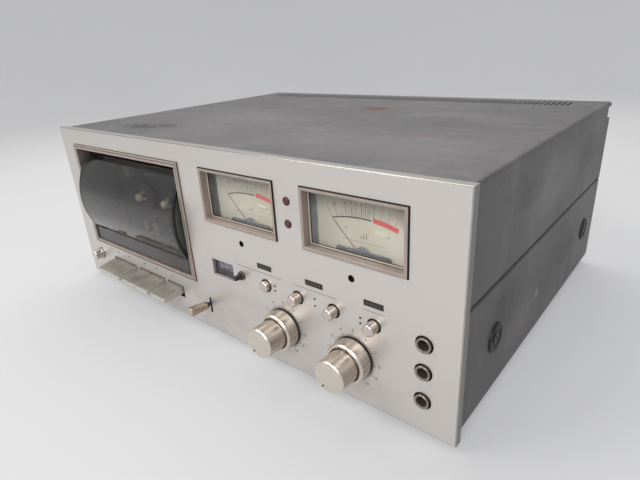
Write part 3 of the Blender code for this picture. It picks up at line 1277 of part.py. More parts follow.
def meter_lens(side, left, right):
    """The clear window between a meter's bezel and its body."""
    depth = (LENS_DEPTH, LENS_DEPTH + METER_LENS)
    lens = box("meter_lens_" + side, (left, right), depth, METER_BODY_HEIGHT)
    return dress(lens, CLEAR, 0.05, 0.0, 0.15)


def meter_body(side, left, right):
    """A meter's body: a box with the dial as its floor, a lower cover with a bump, and the needle's pin."""
    body = box("meter_body_" + side, (left, right), (METER_BODY_DEPTH, METER_BODY_BACK), METER_BODY_HEIGHT)
    wall = METER_WALL
    inside_x = (left + wall, right - wall)
    inside_height = (METER_BODY_HEIGHT[0] + wall, METER_BODY_HEIGHT[1] - wall)
    room = (METER_BODY_DEPTH - OVERRUN, METER_DIAL_DEPTH)
    cut(body, box("meter_room", inside_x, room, inside_height, helper=True))
    middle = (left + right) / 2
    rise = METER_COVER_TOP - METER_BUMP_HEIGHT
    clear = math.degrees(math.asin(rise / METER_BUMP_RADIUS))
    bump = arc((middle, METER_BUMP_HEIGHT), METER_BUMP_RADIUS, clear, 180 - clear, 2 * CORNER_STEPS)
    cover = [(left + wall / 2, METER_COVER_TOP), (left + wall / 2, METER_BODY_LOW + wall / 2)]
    cover += [(right - wall / 2, METER_BODY_LOW + wall / 2), (right - wall / 2, METER_COVER_TOP)]
    cover += bump
    depth = (METER_COVER_DEPTH, METER_COVER_DEPTH + METER_COVER)
    join(body, slab("meter_cover", "Y", cover, depth, helper=True))
    pin = (NEEDLE_PIN_FRONT, METER_DIAL_DEPTH + METER_WALL)
    pivot = (middle, NEEDLE_PIVOT_HEIGHT)
    join(body, rod("needle_pin", "Y", NEEDLE_PIN_RADIUS, pivot, pin, True, SMALL_SIDES))
    return dress(body, CREAM if side == "left" else STEEL, 0.6)


def needle(side, middle):
    """A meter's needle on its hub, lying over to the left at rest."""
    half, hub = NEEDLE_WIDTH / 2, NEEDLE_HUB_RADIUS
    height = NEEDLE_PIVOT_HEIGHT
    edge = math.degrees(math.asin(half / hub))
    outline = [(middle - half, height + NEEDLE_LENGTH), (middle + half, height + NEEDLE_LENGTH)]
    outline += arc((middle, height), hub, 90 - edge, edge - 270, 4 * CORNER_STEPS)
    depth = (NEEDLE_DEPTH, NEEDLE_DEPTH + NEEDLE_THICK)
    pointer = slab("needle_" + side, "Y", outline, depth)
    bore = (depth[0] - OVERRUN, depth[1] + OVERRUN)
    cut(pointer, hole("needle_bore", NEEDLE_PIN_RADIUS, middle, height, bore, sides=SMALL_SIDES))
    set_origin(pointer, at(middle, NEEDLE_DEPTH, height))
    pointer.rotation_euler.y = math.radians(NEEDLE_REST)
    return dress(pointer, BLACK, 0.5)


def lamp(name, height):
    """A small indicator lamp: a domed end through the panel and a flange behind it."""
    dome = arc((0, 0), LAMP_RADIUS, 0, 90, 2 * CORNER_STEPS)
    front = [(radius, -LAMP_PROUD + LAMP_RADIUS - rise) for radius, rise in dome]
    back = PANEL_PLATE + SEAT_GAP
    profile = [
        (0, FRAME_DEPTH - SEAT_GAP),
        (LAMP_RADIUS, FRAME_DEPTH - SEAT_GAP),
        (LAMP_RADIUS, back + LAMP_FLANGE),
        (LAMP_FLANGE_RADIUS, back + LAMP_FLANGE),
        (LAMP_FLANGE_RADIUS, back),
        (LAMP_RADIUS, back),
    ]
    profile += front[:-1] + [(0, -LAMP_PROUD)]
    light = turned("lamp_" + name, "Y", (LAMP_X, height), profile, sides=SMALL_SIDES)
    return dress(light, LAMP_RED, 0.15)


def push_button(index, x):
    """A round push-button; the first one is latched in."""
    sunk = PUSH_TRAVEL if index == 0 else 0
    profile = [
        (0, PUSH_STEM_BACK),
        (PUSH_STEM_RADIUS, PUSH_STEM_BACK),
        (PUSH_STEM_RADIUS, PUSH_HEAD_BACK),
        (PUSH_RADIUS, PUSH_HEAD_BACK),
        (PUSH_RADIUS, PUSH_CROWN - PUSH_REACH),
        (PUSH_RADIUS - PUSH_CROWN, -PUSH_REACH),
        (0, -PUSH_REACH),
    ]
    profile = [(radius, place + sunk) for radius, place in profile]
    button = turned(f"push_button_{index + 1}", "Y", (x, PUSH_HEIGHT), profile, sides=SMALL_SIDES)
    return dress(button, CHROME, 0.2, 0.9)


def switch_bank():
    """The block behind the frame that takes the four buttons' stems."""
    span = (PUSH_PLACES[0] - BANK_MARGIN, PUSH_PLACES[-1] + BANK_MARGIN)
    height = (PUSH_HEIGHT - BANK_HALF_HEIGHT, PUSH_HEIGHT + BANK_HALF_HEIGHT)
    bank = box("switch_bank", span, (FRAME_BACK + SEAT_GAP, BANK_BACK), height)
    bore = (FRAME_BACK - OVERRUN, BANK_BORE_BACK)
    for x in PUSH_PLACES:
        cut(bank, hole("bank_bore", PUSH_STEM_RADIUS, x, PUSH_HEIGHT, bore, sides=SMALL_SIDES))
    return dress(bank, BLACK, 0.5)


def knob_ring(side, x):
    """The outer ring of a double knob, with its sleeve through the panel."""
    back = -RUNNING_GAP
    bore = KNOB_STEM_RADIUS + SEAT_GAP
    profile = [
        (RING_SLEEVE_RADIUS, RING_SLEEVE_BACK),
        (RING_SLEEVE_RADIUS, back),
        (RING_RADIUS, back),
        (RING_RADIUS, RING_BEVEL - RING_FRONT),
        (RING_RADIUS - RING_BEVEL, -RING_FRONT),
        (bore, -RING_FRONT),
        (bore, RING_SLEEVE_BACK),
    ]
    ring = turned("knob_ring_" + side, "Y", (x, KNOB_HEIGHT), profile, ring=True)
    return dress(ring, CHAMPAGNE, 0.3, 0.9)


def knob(side, x):
    """The inner knob, on a stem through the ring and bored for the pot's shaft."""
    back = -RING_FRONT - RUNNING_GAP
    bore = POT_SHAFT_RADIUS + SEAT_GAP
    floor = -POT_SHAFT_REACH - SEAT_GAP
    profile = [
        (0, floor),
        (bore, floor),
        (bore, RING_SLEEVE_BACK),
        (KNOB_STEM_RADIUS, RING_SLEEVE_BACK),
        (KNOB_STEM_RADIUS, back),
        (KNOB_RADIUS, back),
        (KNOB_RADIUS, KNOB_BEVEL - KNOB_REACH),
        (KNOB_RADIUS - KNOB_BEVEL, -KNOB_REACH),
        (0, -KNOB_REACH),
    ]
    return dress(turned("knob_" + side, "Y", (x, KNOB_HEIGHT), profile), CHAMPAGNE, 0.25, 0.9)


def pot(side, x):
    """A pot behind the frame: can, bush through the frame, and shaft."""
    front = FRAME_BACK + SEAT_GAP
    profile = [
        (0, POT_BACK),
        (POT_RADIUS, POT_BACK),
        (POT_RADIUS, front),
        (POT_BUSH_RADIUS, front),
        (POT_BUSH_RADIUS, POT_BUSH_FRONT),
        (POT_SHAFT_RADIUS, POT_BUSH_FRONT),
        (POT_SHAFT_RADIUS, -POT_SHAFT_REACH),
        (0, -POT_SHAFT_REACH),
    ]
    piece = turned("pot_" + side, "Y", (x, KNOB_HEIGHT), profile, sides=SMALL_SIDES)
    return dress(piece, STEEL, 0.35, 0.8)


def jack(name, height):
    """A jack socket: a bush through panel and frame, and a square body with a blind bore."""
    x = (JACK_X - JACK_BODY_HALF, JACK_X + JACK_BODY_HALF)
    body_height = (height - JACK_BODY_HALF, height + JACK_BODY_HALF)
    body = box("jack_" + name, x, (FRAME_BACK + SEAT_GAP, JACK_BACK), body_height)
    bush = (-JACK_PROUD, FRAME_BACK + 2 * JACK_PROUD)
    join(body, rod("jack_bush", "Y", JACK_BUSH_RADIUS, (JACK_X, height), bush, helper=True))
    bore = (-JACK_PROUD - OVERRUN, JACK_BORE_BACK)
    cut(body, hole("jack_bore", JACK_BORE_RADIUS, JACK_X, height, bore, gap=0))
    return dress(body, BLACK, 0.4)


def transformer():
    """The mains transformer on the floor: a laminated core and the coil through its windows."""
    half = TRANSFORMER_WIDTH / 2
    x = (TRANSFORMER_X - half, TRANSFORMER_X + half)
    stack = TRANSFORMER_STACK / 2
    depth = (TRANSFORMER_DEPTH - stack, TRANSFORMER_DEPTH + stack)
    height = (INNER_LOW, INNER_LOW + TRANSFORMER_HEIGHT)
    core = box("transformer", x, depth, height)
    inset = TRANSFORMER_COIL_INSET
    coil = TRANSFORMER_COIL / 2
    coil_depth = (TRANSFORMER_DEPTH - coil, TRANSFORMER_DEPTH + coil)
    coil_height = (height[0] + inset, height[1] - inset)
    bobbin = box("coil", (x[0] + inset, x[1] - inset), coil_depth, coil_height, helper=True)
    join(core, soften(bobbin, TRANSFORMER_COIL_ROUND, CORNER_STEPS))
    return dress(core, STEEL, 0.5, 0.7)


def main_board():
    """The main circuit board on its four posts, with its cans and chips."""
    low = INNER_LOW + BOARD_RISE
    top = low + BOARD_THICK
    board = box("main_board", (BOARD_LEFT, BOARD_RIGHT), (BOARD_FRONT, BOARD_BACK), (low, top))
    seat = (low + top) / 2
    for x in (BOARD_LEFT + BOARD_INSET, BOARD_RIGHT - BOARD_INSET):
        for depth in (BOARD_FRONT + BOARD_INSET, BOARD_BACK - BOARD_INSET):
            post = rod("post", "Z", POST_RADIUS, (x, depth), (INNER_LOW, seat), True, BOARD_SIDES)
            join(board, post)
    width, length = BOARD_RIGHT - BOARD_LEFT, BOARD_BACK - BOARD_FRONT
    for across_share, back_share in CAN_SHARES:
        place = (BOARD_LEFT + across_share * width, BOARD_FRONT + back_share * length)
        join(board, rod("can", "Z", CAN_RADIUS, place, (seat, top + CAN_HEIGHT), True, BOARD_SIDES))
    for across_share, back_share in CHIP_SHARES:
        x, depth = BOARD_LEFT + across_share * width, BOARD_FRONT + back_share * length
        chip_x = (x - CHIP_LENGTH / 2, x + CHIP_LENGTH / 2)
        chip_depth = (depth - CHIP_WIDTH / 2, depth + CHIP_WIDTH / 2)
        join(board, box("chip", chip_x, chip_depth, (seat, top + CHIP_HEIGHT), helper=True))
    return dress(board, BOARD_GREEN, 0.5)


def socket_strip():
    """The strip of four line sockets, whose bushes pass through the rear panel."""
    back = REAR_DEPTH - REAR_SHEET - SEAT_GAP
    half = SOCKET_PITCH / 2 + STRIP_MARGIN
    x = (SOCKET_X - half, SOCKET_X + half)
    height = (SOCKET_HEIGHT - half, SOCKET_HEIGHT + half)
    strip = box("socket_strip", x, (back - STRIP_THICK, back), height)
    bush = (back - STRIP_THICK / 2, REAR_DEPTH + SOCKET_REACH)
    bore = (REAR_DEPTH, REAR_DEPTH + SOCKET_REACH + OVERRUN)
    for place in socket_places():
        join(strip, rod("socket_bush", "Y", SOCKET_RADIUS, place, bush, True, SMALL_SIDES))
        cut(strip, hole("socket_bore", SOCKET_BORE_RADIUS, *place, bore, gap=0, sides=SMALL_SIDES))
    return dress(strip, BLACK, 0.5)


def foot(name, x, depth):
    """A tapered rubber foot with a screw recess under it."""
    top = CASE_FLOOR_INSET - SEAT_GAP
    profile = [
        (0, top),
        (FOOT_RADIUS, top),
        (FOOT_TOE_RADIUS, -PANEL_LIFT),
        (FOOT_RECESS_RADIUS, -PANEL_LIFT),
        (FOOT_RECESS_RADIUS, FOOT_RECESS - PANEL_LIFT),
        (0, FOOT_RECESS - PANEL_LIFT),
    ]
    return dress(turned(name, "Z", (x, depth), profile, sides=SMALL_SIDES), RUBBER, 0.8)


case_bottom()
top_cover()
rear_panel()
front_panel()
front_frame()
cassette_bezel()
cassette_door()
deck_plate()
for side, x in REELS:
    spindle(side, x)
head_bridge()
pinch_arm()
pinch_roller()
capstan_flywheel()
motor()
motor_pulley()
drive_belt()
for name, left, right in KEY_SPANS:
    key(name, left, right)
key_axle()
lever()
power_button()
counter_housing()
for index in range(3):
    counter_wheel(index)
reset_button()
for side, left, right in METER_SLEEVES:
    meter_bezel(side, left, right)
    meter_lens(side, left, right)
    meter_body(side, left, right)
    needle(side, (left + right) / 2)
for name, height in LAMP_PLACES:
    lamp(name, height)
for index, x in enumerate(PUSH_PLACES):
    push_button(index, x)
switch_bank()
for side, x in KNOB_PLACES:
    knob_ring(side, x)
    knob(side, x)
    pot(side, x)
for name, height in JACK_HEIGHTS:
    jack(name, height)
transformer()
main_board()
socket_strip()
for end, depth in FOOT_DEPTHS:
    for side, x in (("left", -FOOT_X), ("right", FOOT_X)):
        foot(f"foot_{end}_{side}", x, depth)
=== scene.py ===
# %% [markdown]
# # A cassette deck, dressed round its frame
# The solids of the deck are already made and packed: every panel, key, knob and wheel has
# its size, its place and the body that it moves with. This script gives them their looks.
# Loading the frame first means that no piece has to be fitted by eye afterwards.

# %% Load the frame
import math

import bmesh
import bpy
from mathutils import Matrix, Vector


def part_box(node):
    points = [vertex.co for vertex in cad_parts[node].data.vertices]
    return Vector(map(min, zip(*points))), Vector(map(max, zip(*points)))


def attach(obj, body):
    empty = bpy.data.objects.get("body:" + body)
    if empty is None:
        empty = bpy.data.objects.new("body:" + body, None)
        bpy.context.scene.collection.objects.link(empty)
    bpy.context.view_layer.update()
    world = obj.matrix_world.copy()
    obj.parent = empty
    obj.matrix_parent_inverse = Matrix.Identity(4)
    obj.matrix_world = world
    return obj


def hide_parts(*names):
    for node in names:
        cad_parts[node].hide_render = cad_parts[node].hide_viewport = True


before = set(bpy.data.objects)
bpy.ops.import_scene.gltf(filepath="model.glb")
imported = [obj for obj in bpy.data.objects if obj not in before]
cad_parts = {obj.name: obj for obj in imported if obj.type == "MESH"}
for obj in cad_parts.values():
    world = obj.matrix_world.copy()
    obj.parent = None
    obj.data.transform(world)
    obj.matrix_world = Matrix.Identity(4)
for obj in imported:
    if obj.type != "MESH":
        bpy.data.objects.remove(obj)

# %% [markdown]
# ## Tools and sizes
# Nearly every piece here is either turned, like a knob, or a flat outline with thickness,
# like a bezel. The sizes come from the boxes of the solids, so the looks follow the frame.
# `MM` lets small details be written as a maker says them.

MM = 0.001
FULL_TURN = 2 * math.pi
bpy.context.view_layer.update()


def corners(node):
    """The lowest and the highest corner of one solid, as vectors."""
    low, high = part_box(node)
    return Vector(low), Vector(high)


def middle(node):
    """The centre of one solid's box."""
    low, high = corners(node)
    return (low + high) / 2


# The panel's solid starts at the front of a small collar round the counter's reset button
COLLAR_PROUD = 1.5 * MM
PANEL_LOW, PANEL_HIGH = corners("front_panel")
FACE = PANEL_LOW.y + COLLAR_PROUD


def on_panel(across, up, out=0.0):
    """A point across the panel from its middle, up from its lower edge and out from its face."""
    return Vector((across, FACE - out, PANEL_LOW.z + up))


print("panel", [round(size / MM, 1) for size in PANEL_HIGH - PANEL_LOW], "mm, face at", round(FACE / MM, 2))

# %% [markdown]
# ## The camera
# The view is close, from the right and above, so near edges look much larger than far ones.
# Matching that needs the real distance as well as the direction. Three axes of the picture
# and the lens give the view exactly, which beats turning a camera by hand.

# %% Camera at the photograph's viewpoint
EYE = Vector((0.2898, -0.33785, 0.2214))
RIGHTWARD = Vector((0.7697, 0.6361, -0.0547))
DOWNWARD = Vector((0.2065, -0.3291, -0.9214))
FORWARD = Vector((-0.6041, 0.6979, -0.3847))
SENSOR = 36.0
LENS = 26.794

camera_data = bpy.data.cameras.new("Camera")
camera_data.sensor_width = SENSOR
camera_data.lens = LENS
camera_data.clip_start = 0.01
camera = bpy.data.objects.new("Camera", camera_data)
turn = Matrix((RIGHTWARD, -DOWNWARD, -FORWARD)).transposed().to_4x4()
camera.matrix_world = Matrix.Translation(EYE) @ turn
bpy.context.scene.collection.objects.link(camera)
bpy.context.scene.camera = camera
bpy.context.scene.view_settings.view_transform = "Standard"
print("lens", LENS, "mm, eye", tuple(EYE))

# %% [markdown]
# ## Building node trees
# A material is a small graph, and writing each link out makes long scripts. One helper adds
# a node, sets its options, and fills or links its inputs in a single call.
# A socket given as a value is linked; anything else is set on the input itself.

# %% A helper for nodes
def add(tree, kind, inputs=None, **options):
    """Add a node to a tree, with its options, and set or link the inputs that are named."""
    node = tree.nodes.new(kind)
    for name, value in options.items():
        setattr(node, name, value)
    for name, value in (inputs or {}).items():
        if isinstance(value, bpy.types.NodeSocket):
            tree.links.new(value, node.inputs[name])
        else:
            node.inputs[name].default_value = value
    return node


def maths(tree, operation, first, second=0.0):
    """One Math node and its result, from two sockets or numbers."""
    return add(tree, "ShaderNodeMath", {0: first, 1: second}, operation=operation).outputs[0]


def times(tree, first, second):
    """Two sockets or numbers multiplied."""
    return maths(tree, "MULTIPLY", first, second)


def vectors(tree, operation, first, second=(0, 0, 0)):
    """The outputs of one Vector Math node."""
    return add(tree, "ShaderNodeVectorMath", {0: first, 1: second}, operation=operation).outputs


def split(tree, vector):
    """The X, Y and Z of a vector."""
    return add(tree, "ShaderNodeSeparateXYZ", {0: vector}).outputs


print("node helpers: add, maths, times, vectors, split")

# %% [markdown]
# ## Floor, daylight and lamps
# The deck is shown on a plain white floor under soft light. A floor shaped like a bowl has
# no horizon line, from any side. It looks white to the camera through Light Path, not through
# more light, so the deck itself is lit at a plain level and still drops its shadow.

# %% The floor's shape
FLOOR_FLAT = 1.6
FLOOR_RISE = 1.2
FLOOR_COVE = 0.6
FLOOR_SIDES = 64
COVE_STEPS = 12


def floor_profile():
    """Radius and height along the bowl: flat, then a quarter circle, then upright."""
    points = [(0.0, 0.0), (FLOOR_FLAT, 0.0)]
    for step in range(1, COVE_STEPS + 1):
        angle = math.pi / 2 * step / COVE_STEPS
        points.append((FLOOR_FLAT + FLOOR_COVE * math.sin(angle), FLOOR_COVE * (1 - math.cos(angle))))
    return points + [(FLOOR_FLAT + FLOOR_COVE, FLOOR_RISE)]


print("points down the floor's profile", len(floor_profile()))

# %% The floor's paint
FLOOR_TONES = ((0.60, 0.60, 0.61, 1), (0.68, 0.68, 0.68, 1))
FLOOR_WHITE = (0.66, 0.66, 0.67, 1)
WHITE_SHARE = 0.45


def seen_by_eye(tree):
    """1 for what the camera sees, straight, in a mirror or through glass, and 0 for light."""
    path = add(tree, "ShaderNodeLightPath").outputs
    seen = maths(tree, "MAXIMUM", path["Is Camera Ray"], path["Is Glossy Ray"])
    return maths(tree, "MAXIMUM", seen, path["Is Transmission Ray"])


def floor_material():
    """White paint: about half takes shadows, and the rest is plain white to the eye."""
    made = bpy.data.materials.new("white floor")
    made.use_nodes = True
    tree = made.node_tree
    tree.nodes.clear()
    where = add(tree, "ShaderNodeTexCoord").outputs["Object"]
    cloud = add(tree, "ShaderNodeTexNoise", {"Vector": where, "Scale": 1.5}).outputs[0]
    ramp = add(tree, "ShaderNodeValToRGB", {0: cloud})
    for element, tone in zip(ramp.color_ramp.elements, FLOOR_TONES):
        element.color = tone
    paint = add(tree, "ShaderNodeBsdfDiffuse", {"Color": ramp.outputs[0]})
    white = add(tree, "ShaderNodeEmission", {"Color": FLOOR_WHITE, "Strength": 1.0})
    share = times(tree, seen_by_eye(tree), WHITE_SHARE)
    both = add(tree, "ShaderNodeMixShader", {0: share, 1: paint.outputs[0], 2: white.outputs[0]})
    add(tree, "ShaderNodeOutputMaterial", {0: both.outputs[0]})
    return made


FLOOR_PAINT = floor_material()
print("paint with", len(FLOOR_PAINT.node_tree.nodes), "nodes")

# %% The floor
floor_mesh = bmesh.new()
spots = [floor_mesh.verts.new((radius, 0, height)) for radius, height in floor_profile()]
line = [floor_mesh.edges.new(pair) for pair in zip(spots, spots[1:])]
bmesh.ops.spin(floor_mesh, geom=spots + line, axis=(0, 0, 1), cent=(0, 0, 0),
               steps=FLOOR_SIDES, angle=FULL_TURN)
bmesh.ops.remove_doubles(floor_mesh, verts=floor_mesh.verts, dist=MM)
bmesh.ops.recalc_face_normals(floor_mesh, faces=floor_mesh.faces)
floor_data = bpy.data.meshes.new("floor")
floor_mesh.to_mesh(floor_data)
floor_mesh.free()
floor_data.shade_smooth()
floor = bpy.data.objects.new("floor", floor_data)
floor_data.materials.append(FLOOR_PAINT)
bpy.context.scene.collection.objects.link(floor)
print("floor", 2 * FLOOR_FLAT, "m across its flat")

# %% World light and three soft lamps
LAMPS = (
    ("overhead", (-0.35, 0.45, 1.15), (0.0, 0.05, 0.05), (1.3, 1.0), 11.0, (1.0, 0.99, 0.97)),
    ("front left", (-0.80, -0.95, 1.20), (0.0, -0.1, 0.08), (0.8, 0.7), 9.5, (1.0, 0.98, 0.95)),
    ("front right", (0.45, -1.15, 0.95), (0.05, -0.1, 0.08), (0.6, 0.6), 10.8, (0.97, 0.98, 1.0)),
)

DAYLIGHT, DAYLIGHT_STRENGTH = (0.95, 0.97, 1.0, 1), 0.42
BACKDROP = (0.55, 0.55, 0.56, 1)
world = bpy.data.worlds.new("soft light")
bpy.context.scene.world = world
world.use_nodes = True
sky = world.node_tree
sky.nodes.clear()
daylight = add(sky, "ShaderNodeBackground", {"Color": DAYLIGHT, "Strength": DAYLIGHT_STRENGTH}).outputs[0]
backdrop = add(sky, "ShaderNodeBackground", {"Color": BACKDROP, "Strength": 1.0}).outputs[0]
eye_only = add(sky, "ShaderNodeLightPath").outputs["Is Camera Ray"]
either = add(sky, "ShaderNodeMixShader", {0: eye_only, 1: daylight, 2: backdrop})
add(sky, "ShaderNodeOutputWorld", {0: either.outputs[0]})

for name, place, target, size, power, colour in LAMPS:
    light = bpy.data.lights.new(name, "AREA")
    light.shape = "RECTANGLE"
    light.size, light.size_y = size
    light.energy = power
    light.color = colour
    lamp = bpy.data.objects.new(name, light)
    lamp.location = place
    lamp.rotation_euler = (Vector(target) - Vector(place)).to_track_quat("-Z", "Y").to_euler()
    bpy.context.scene.collection.objects.link(lamp)
print("lamps", [row[0] for row in LAMPS])

# %% [markdown]
# ## Effects that many finishes share
# A deck that has been used for years isn't one colour anywhere: paint clouds a little, hands
# leave smudges, dust gathers, and edges rub bright. Each effect is a node group with named
# inputs, built once, so a material only says how much of it there is. Everything is read from
# Object coordinates, which are the deck's own metres, so a stain can be put at a real place.

# %% Starting a group
def start_group(name, inputs, outputs, tree_kind="ShaderNodeTree"):
    """A new group whose inputs are (name, kind, default) and whose outputs are (name, kind)."""
    group = bpy.data.node_groups.new(name, tree_kind)
    for label, kind, value in inputs:
        socket = group.interface.new_socket(label, in_out="INPUT", socket_type="NodeSocket" + kind)
        if value is not None:
            socket.default_value = value
    for label, kind in outputs:
        group.interface.new_socket(label, in_out="OUTPUT", socket_type="NodeSocket" + kind)
    return group, group.nodes.new("NodeGroupInput").outputs, group.nodes.new("NodeGroupOutput")


def ranged(tree, value, low, high, to_low=0.0, to_high=1.0):
    """The value, with low…high stretched to to_low…to_high and held at the ends."""
    return add(tree, "ShaderNodeMapRange", {"Value": value, "From Min": low, "From Max": high,
                                            "To Min": to_low, "To Max": to_high}).outputs["Result"]


def noise(tree, vector, scale, detail=2.0, rough=0.5, distortion=0.0):
    """A noise value at a scale given in turns a metre."""
    return add(tree, "ShaderNodeTexNoise", {"Vector": vector, "Scale": scale, "Detail": detail,
                                            "Roughness": rough, "Distortion": distortion}).outputs[0]


def stretched(tree, vector, scale, place=(0, 0, 0)):
    """The vector moved by place and stretched by scale, axis by axis."""
    return vectors(tree, "MULTIPLY", vectors(tree, "SUBTRACT", vector, place)[0], scale)[0]


print("group helpers: start_group, ranged, noise, stretched")

# %% Clouds, smudges, specks and patches
def age_group():
    """Broad clouds of tone, drawn-out smudges, and small specks, each from 0 to 1."""
    group, given, out = start_group(
        "age", [("Vector", "Vector", None), ("Cloud", "Float", 18.0), ("Smudge", "Float", 30.0)],
        [("Clouds", "Float"), ("Smudges", "Float"), ("Specks", "Float")])
    clouds = noise(group, given["Vector"], given["Cloud"], 3.0, 0.55)
    group.links.new(ranged(group, clouds, 0.33, 0.67), out.inputs["Clouds"])
    drawn = stretched(group, given["Vector"], (0.35, 1.0, 1.0))
    smudge = noise(group, drawn, given["Smudge"], 5.0, 0.65, 0.6)
    group.links.new(ranged(group, smudge, 0.52, 0.74), out.inputs["Smudges"])
    specks = noise(group, given["Vector"], 700.0, 1.0, 0.5)
    group.links.new(ranged(group, specks, 0.70, 0.78), out.inputs["Specks"])
    return group


def patch_group():
    """A ragged spot round a place: 1 in its middle, fading to 0 at its radius."""
    group, given, out = start_group(
        "patch", [("Vector", "Vector", None), ("Centre", "Vector", None), ("Stretch", "Vector", (1, 1, 1)),
                  ("Radius", "Float", 0.01), ("Ragged", "Float", 0.5)], [("Mask", "Float")])
    away = stretched(group, given["Vector"], given["Stretch"], given["Centre"])
    share = maths(group, "DIVIDE", vectors(group, "LENGTH", away)["Value"], given["Radius"])
    torn = maths(group, "SUBTRACT", noise(group, given["Vector"], 260.0, 5.0, 0.65), 0.5)
    edge = maths(group, "ADD", share, times(group, times(group, torn, given["Ragged"]), 4.0))
    group.links.new(ranged(group, edge, 1.0, 0.35), out.inputs["Mask"])
    return group


AGE, PATCH = age_group(), patch_group()
print("groups", AGE.name, "and", PATCH.name)

# %% Edges that rub bright
def edge_group():
    """Where the surface bends sharply, found by comparing its normal with a rounded one."""
    group, given, out = start_group("edge", [("Vector", "Vector", None), ("Width", "Float", 0.0006)],
                                    [("Mask", "Float"), ("Normal", "Vector")])
    soft = add(group, "ShaderNodeBevel", {"Radius": given["Width"]}, samples=4).outputs[0]
    plain = add(group, "ShaderNodeNewGeometry").outputs["Normal"]
    bend = ranged(group, vectors(group, "DOT_PRODUCT", soft, plain)["Value"], 0.995, 0.86)
    broken = ranged(group, noise(group, given["Vector"], 420.0, 4.0, 0.6), 0.42, 0.62)
    group.links.new(times(group, bend, broken), out.inputs["Mask"])
    group.links.new(soft, out.inputs["Normal"])
    return group


EDGE = edge_group()
print("edge group with", len(EDGE.nodes), "nodes")

# %% Brush lines and lathe marks
def brush_group():
    """Long fine lines along X, as a brush leaves them on plate."""
    group, given, out = start_group(
        "brush", [("Vector", "Vector", None), ("Along", "Float", 30.0), ("Across", "Float", 5000.0)],
        [("Lines", "Float")])
    scale = add(group, "ShaderNodeCombineXYZ", {0: given["Along"], 1: given["Across"], 2: given["Across"]})
    fine = noise(group, vectors(group, "MULTIPLY", given["Vector"], scale.outputs[0])[0], 1.0, 3.0, 0.6)
    group.links.new(ranged(group, fine, 0.3, 0.7), out.inputs["Lines"])
    return group


def turned_group():
    """A lathe's marks round the Y axis: fine rings by radius, and streaks by angle."""
    group, given, out = start_group(
        "turned", [("Vector", "Vector", None), ("Pitch", "Float", 0.00035), ("Streaks", "Float", 5.0)],
        [("Rings", "Float"), ("Streak", "Float")])
    parts = split(group, given["Vector"])
    flat = add(group, "ShaderNodeCombineXYZ", {0: parts["X"], 1: parts["Z"]}).outputs[0]
    turns = maths(group, "DIVIDE", vectors(group, "LENGTH", flat)["Value"], given["Pitch"])
    uneven = times(group, noise(group, given["Vector"], 900.0), 4.0)
    wave = maths(group, "SINE", maths(group, "ADD", times(group, turns, FULL_TURN), uneven))
    group.links.new(ranged(group, wave, -1.0, 1.0), out.inputs["Rings"])
    streak = noise(group, vectors(group, "NORMALIZE", flat)[0], given["Streaks"], 4.0, 0.7)
    group.links.new(ranged(group, streak, 0.35, 0.65), out.inputs["Streak"])
    return group


BRUSH, TURNED = brush_group(), turned_group()


def use(tree, group, inputs):
    """Place a group in a material and give back its outputs."""
    return add(tree, "ShaderNodeGroup", inputs, node_tree=group).outputs


print("groups", [group.name for group in bpy.data.node_groups])

# %% [markdown]
# ## A bench for finishes
# Every finish here ends in one Principled shader. What stays the same over a surface is set
# straight on that shader's socket, and what changes is linked. The helpers below start a
# material, lay colours over each other by masks, and raise a bump.

# %% Starting a finish, mixing and bumping
def start_finish(name, colour, roughness, metallic=0.0, **more):
    """A material with one Principled shader; more sets its other sockets by name."""
    made = bpy.data.materials.new(name)
    made.use_nodes = True
    tree = made.node_tree
    shader = tree.nodes["Principled BSDF"]
    shader.inputs["Base Color"].default_value = (*colour, 1.0)
    shader.inputs["Roughness"].default_value = roughness
    shader.inputs["Metallic"].default_value = metallic
    for label, value in more.items():
        shader.inputs[label.replace("_", " ")].default_value = value
    where = add(tree, "ShaderNodeTexCoord").outputs["Object"]
    return made, tree, shader.inputs, where


def blend_colour(tree, mask, first, second):
    """The first colour where the mask is 0 and the second where it is 1."""
    ends = [tone if isinstance(tone, bpy.types.NodeSocket) else (*tone, 1.0) for tone in (first, second)]
    return add(tree, "ShaderNodeMix", {0: mask, 6: ends[0], 7: ends[1]}, data_type="RGBA").outputs[2]


def layered(tree, colour, *layers):
    """The colour with others laid over it; each layer is a mask, how much of it counts, and a colour."""
    for mask, share, tone in layers:
        colour = blend_colour(tree, times(tree, mask, share), colour, tone)
    return colour


def bump(tree, height, distance, strength, normal=None):
    """A bump from a height value, its depth given in metres."""
    inputs = {"Height": height, "Distance": distance, "Strength": strength}
    if normal is not None:
        inputs["Normal"] = normal
    return add(tree, "ShaderNodeBump", inputs).outputs[0]


def feed(tree, inputs, **sockets):
    """Link values to the shader's sockets by name, with _ for a space."""
    for label, value in sockets.items():
        tree.links.new(value, inputs[label.replace("_", " ")])


def shade(colour, factor):
    """A colour made lighter or darker."""
    return tuple(min(1.0, part * factor) for part in colour)


def srgb(red, green, blue):
    """A colour as the eye reads it, 0 to 255, turned into light."""
    def light(part):
        part = part / 255
        return part / 12.92 if part <= 0.04045 else ((part + 0.055) / 1.055) ** 2.4
    return (light(red), light(green), light(blue))


print("one colour as light", [round(part, 3) for part in srgb(215, 210, 205)])
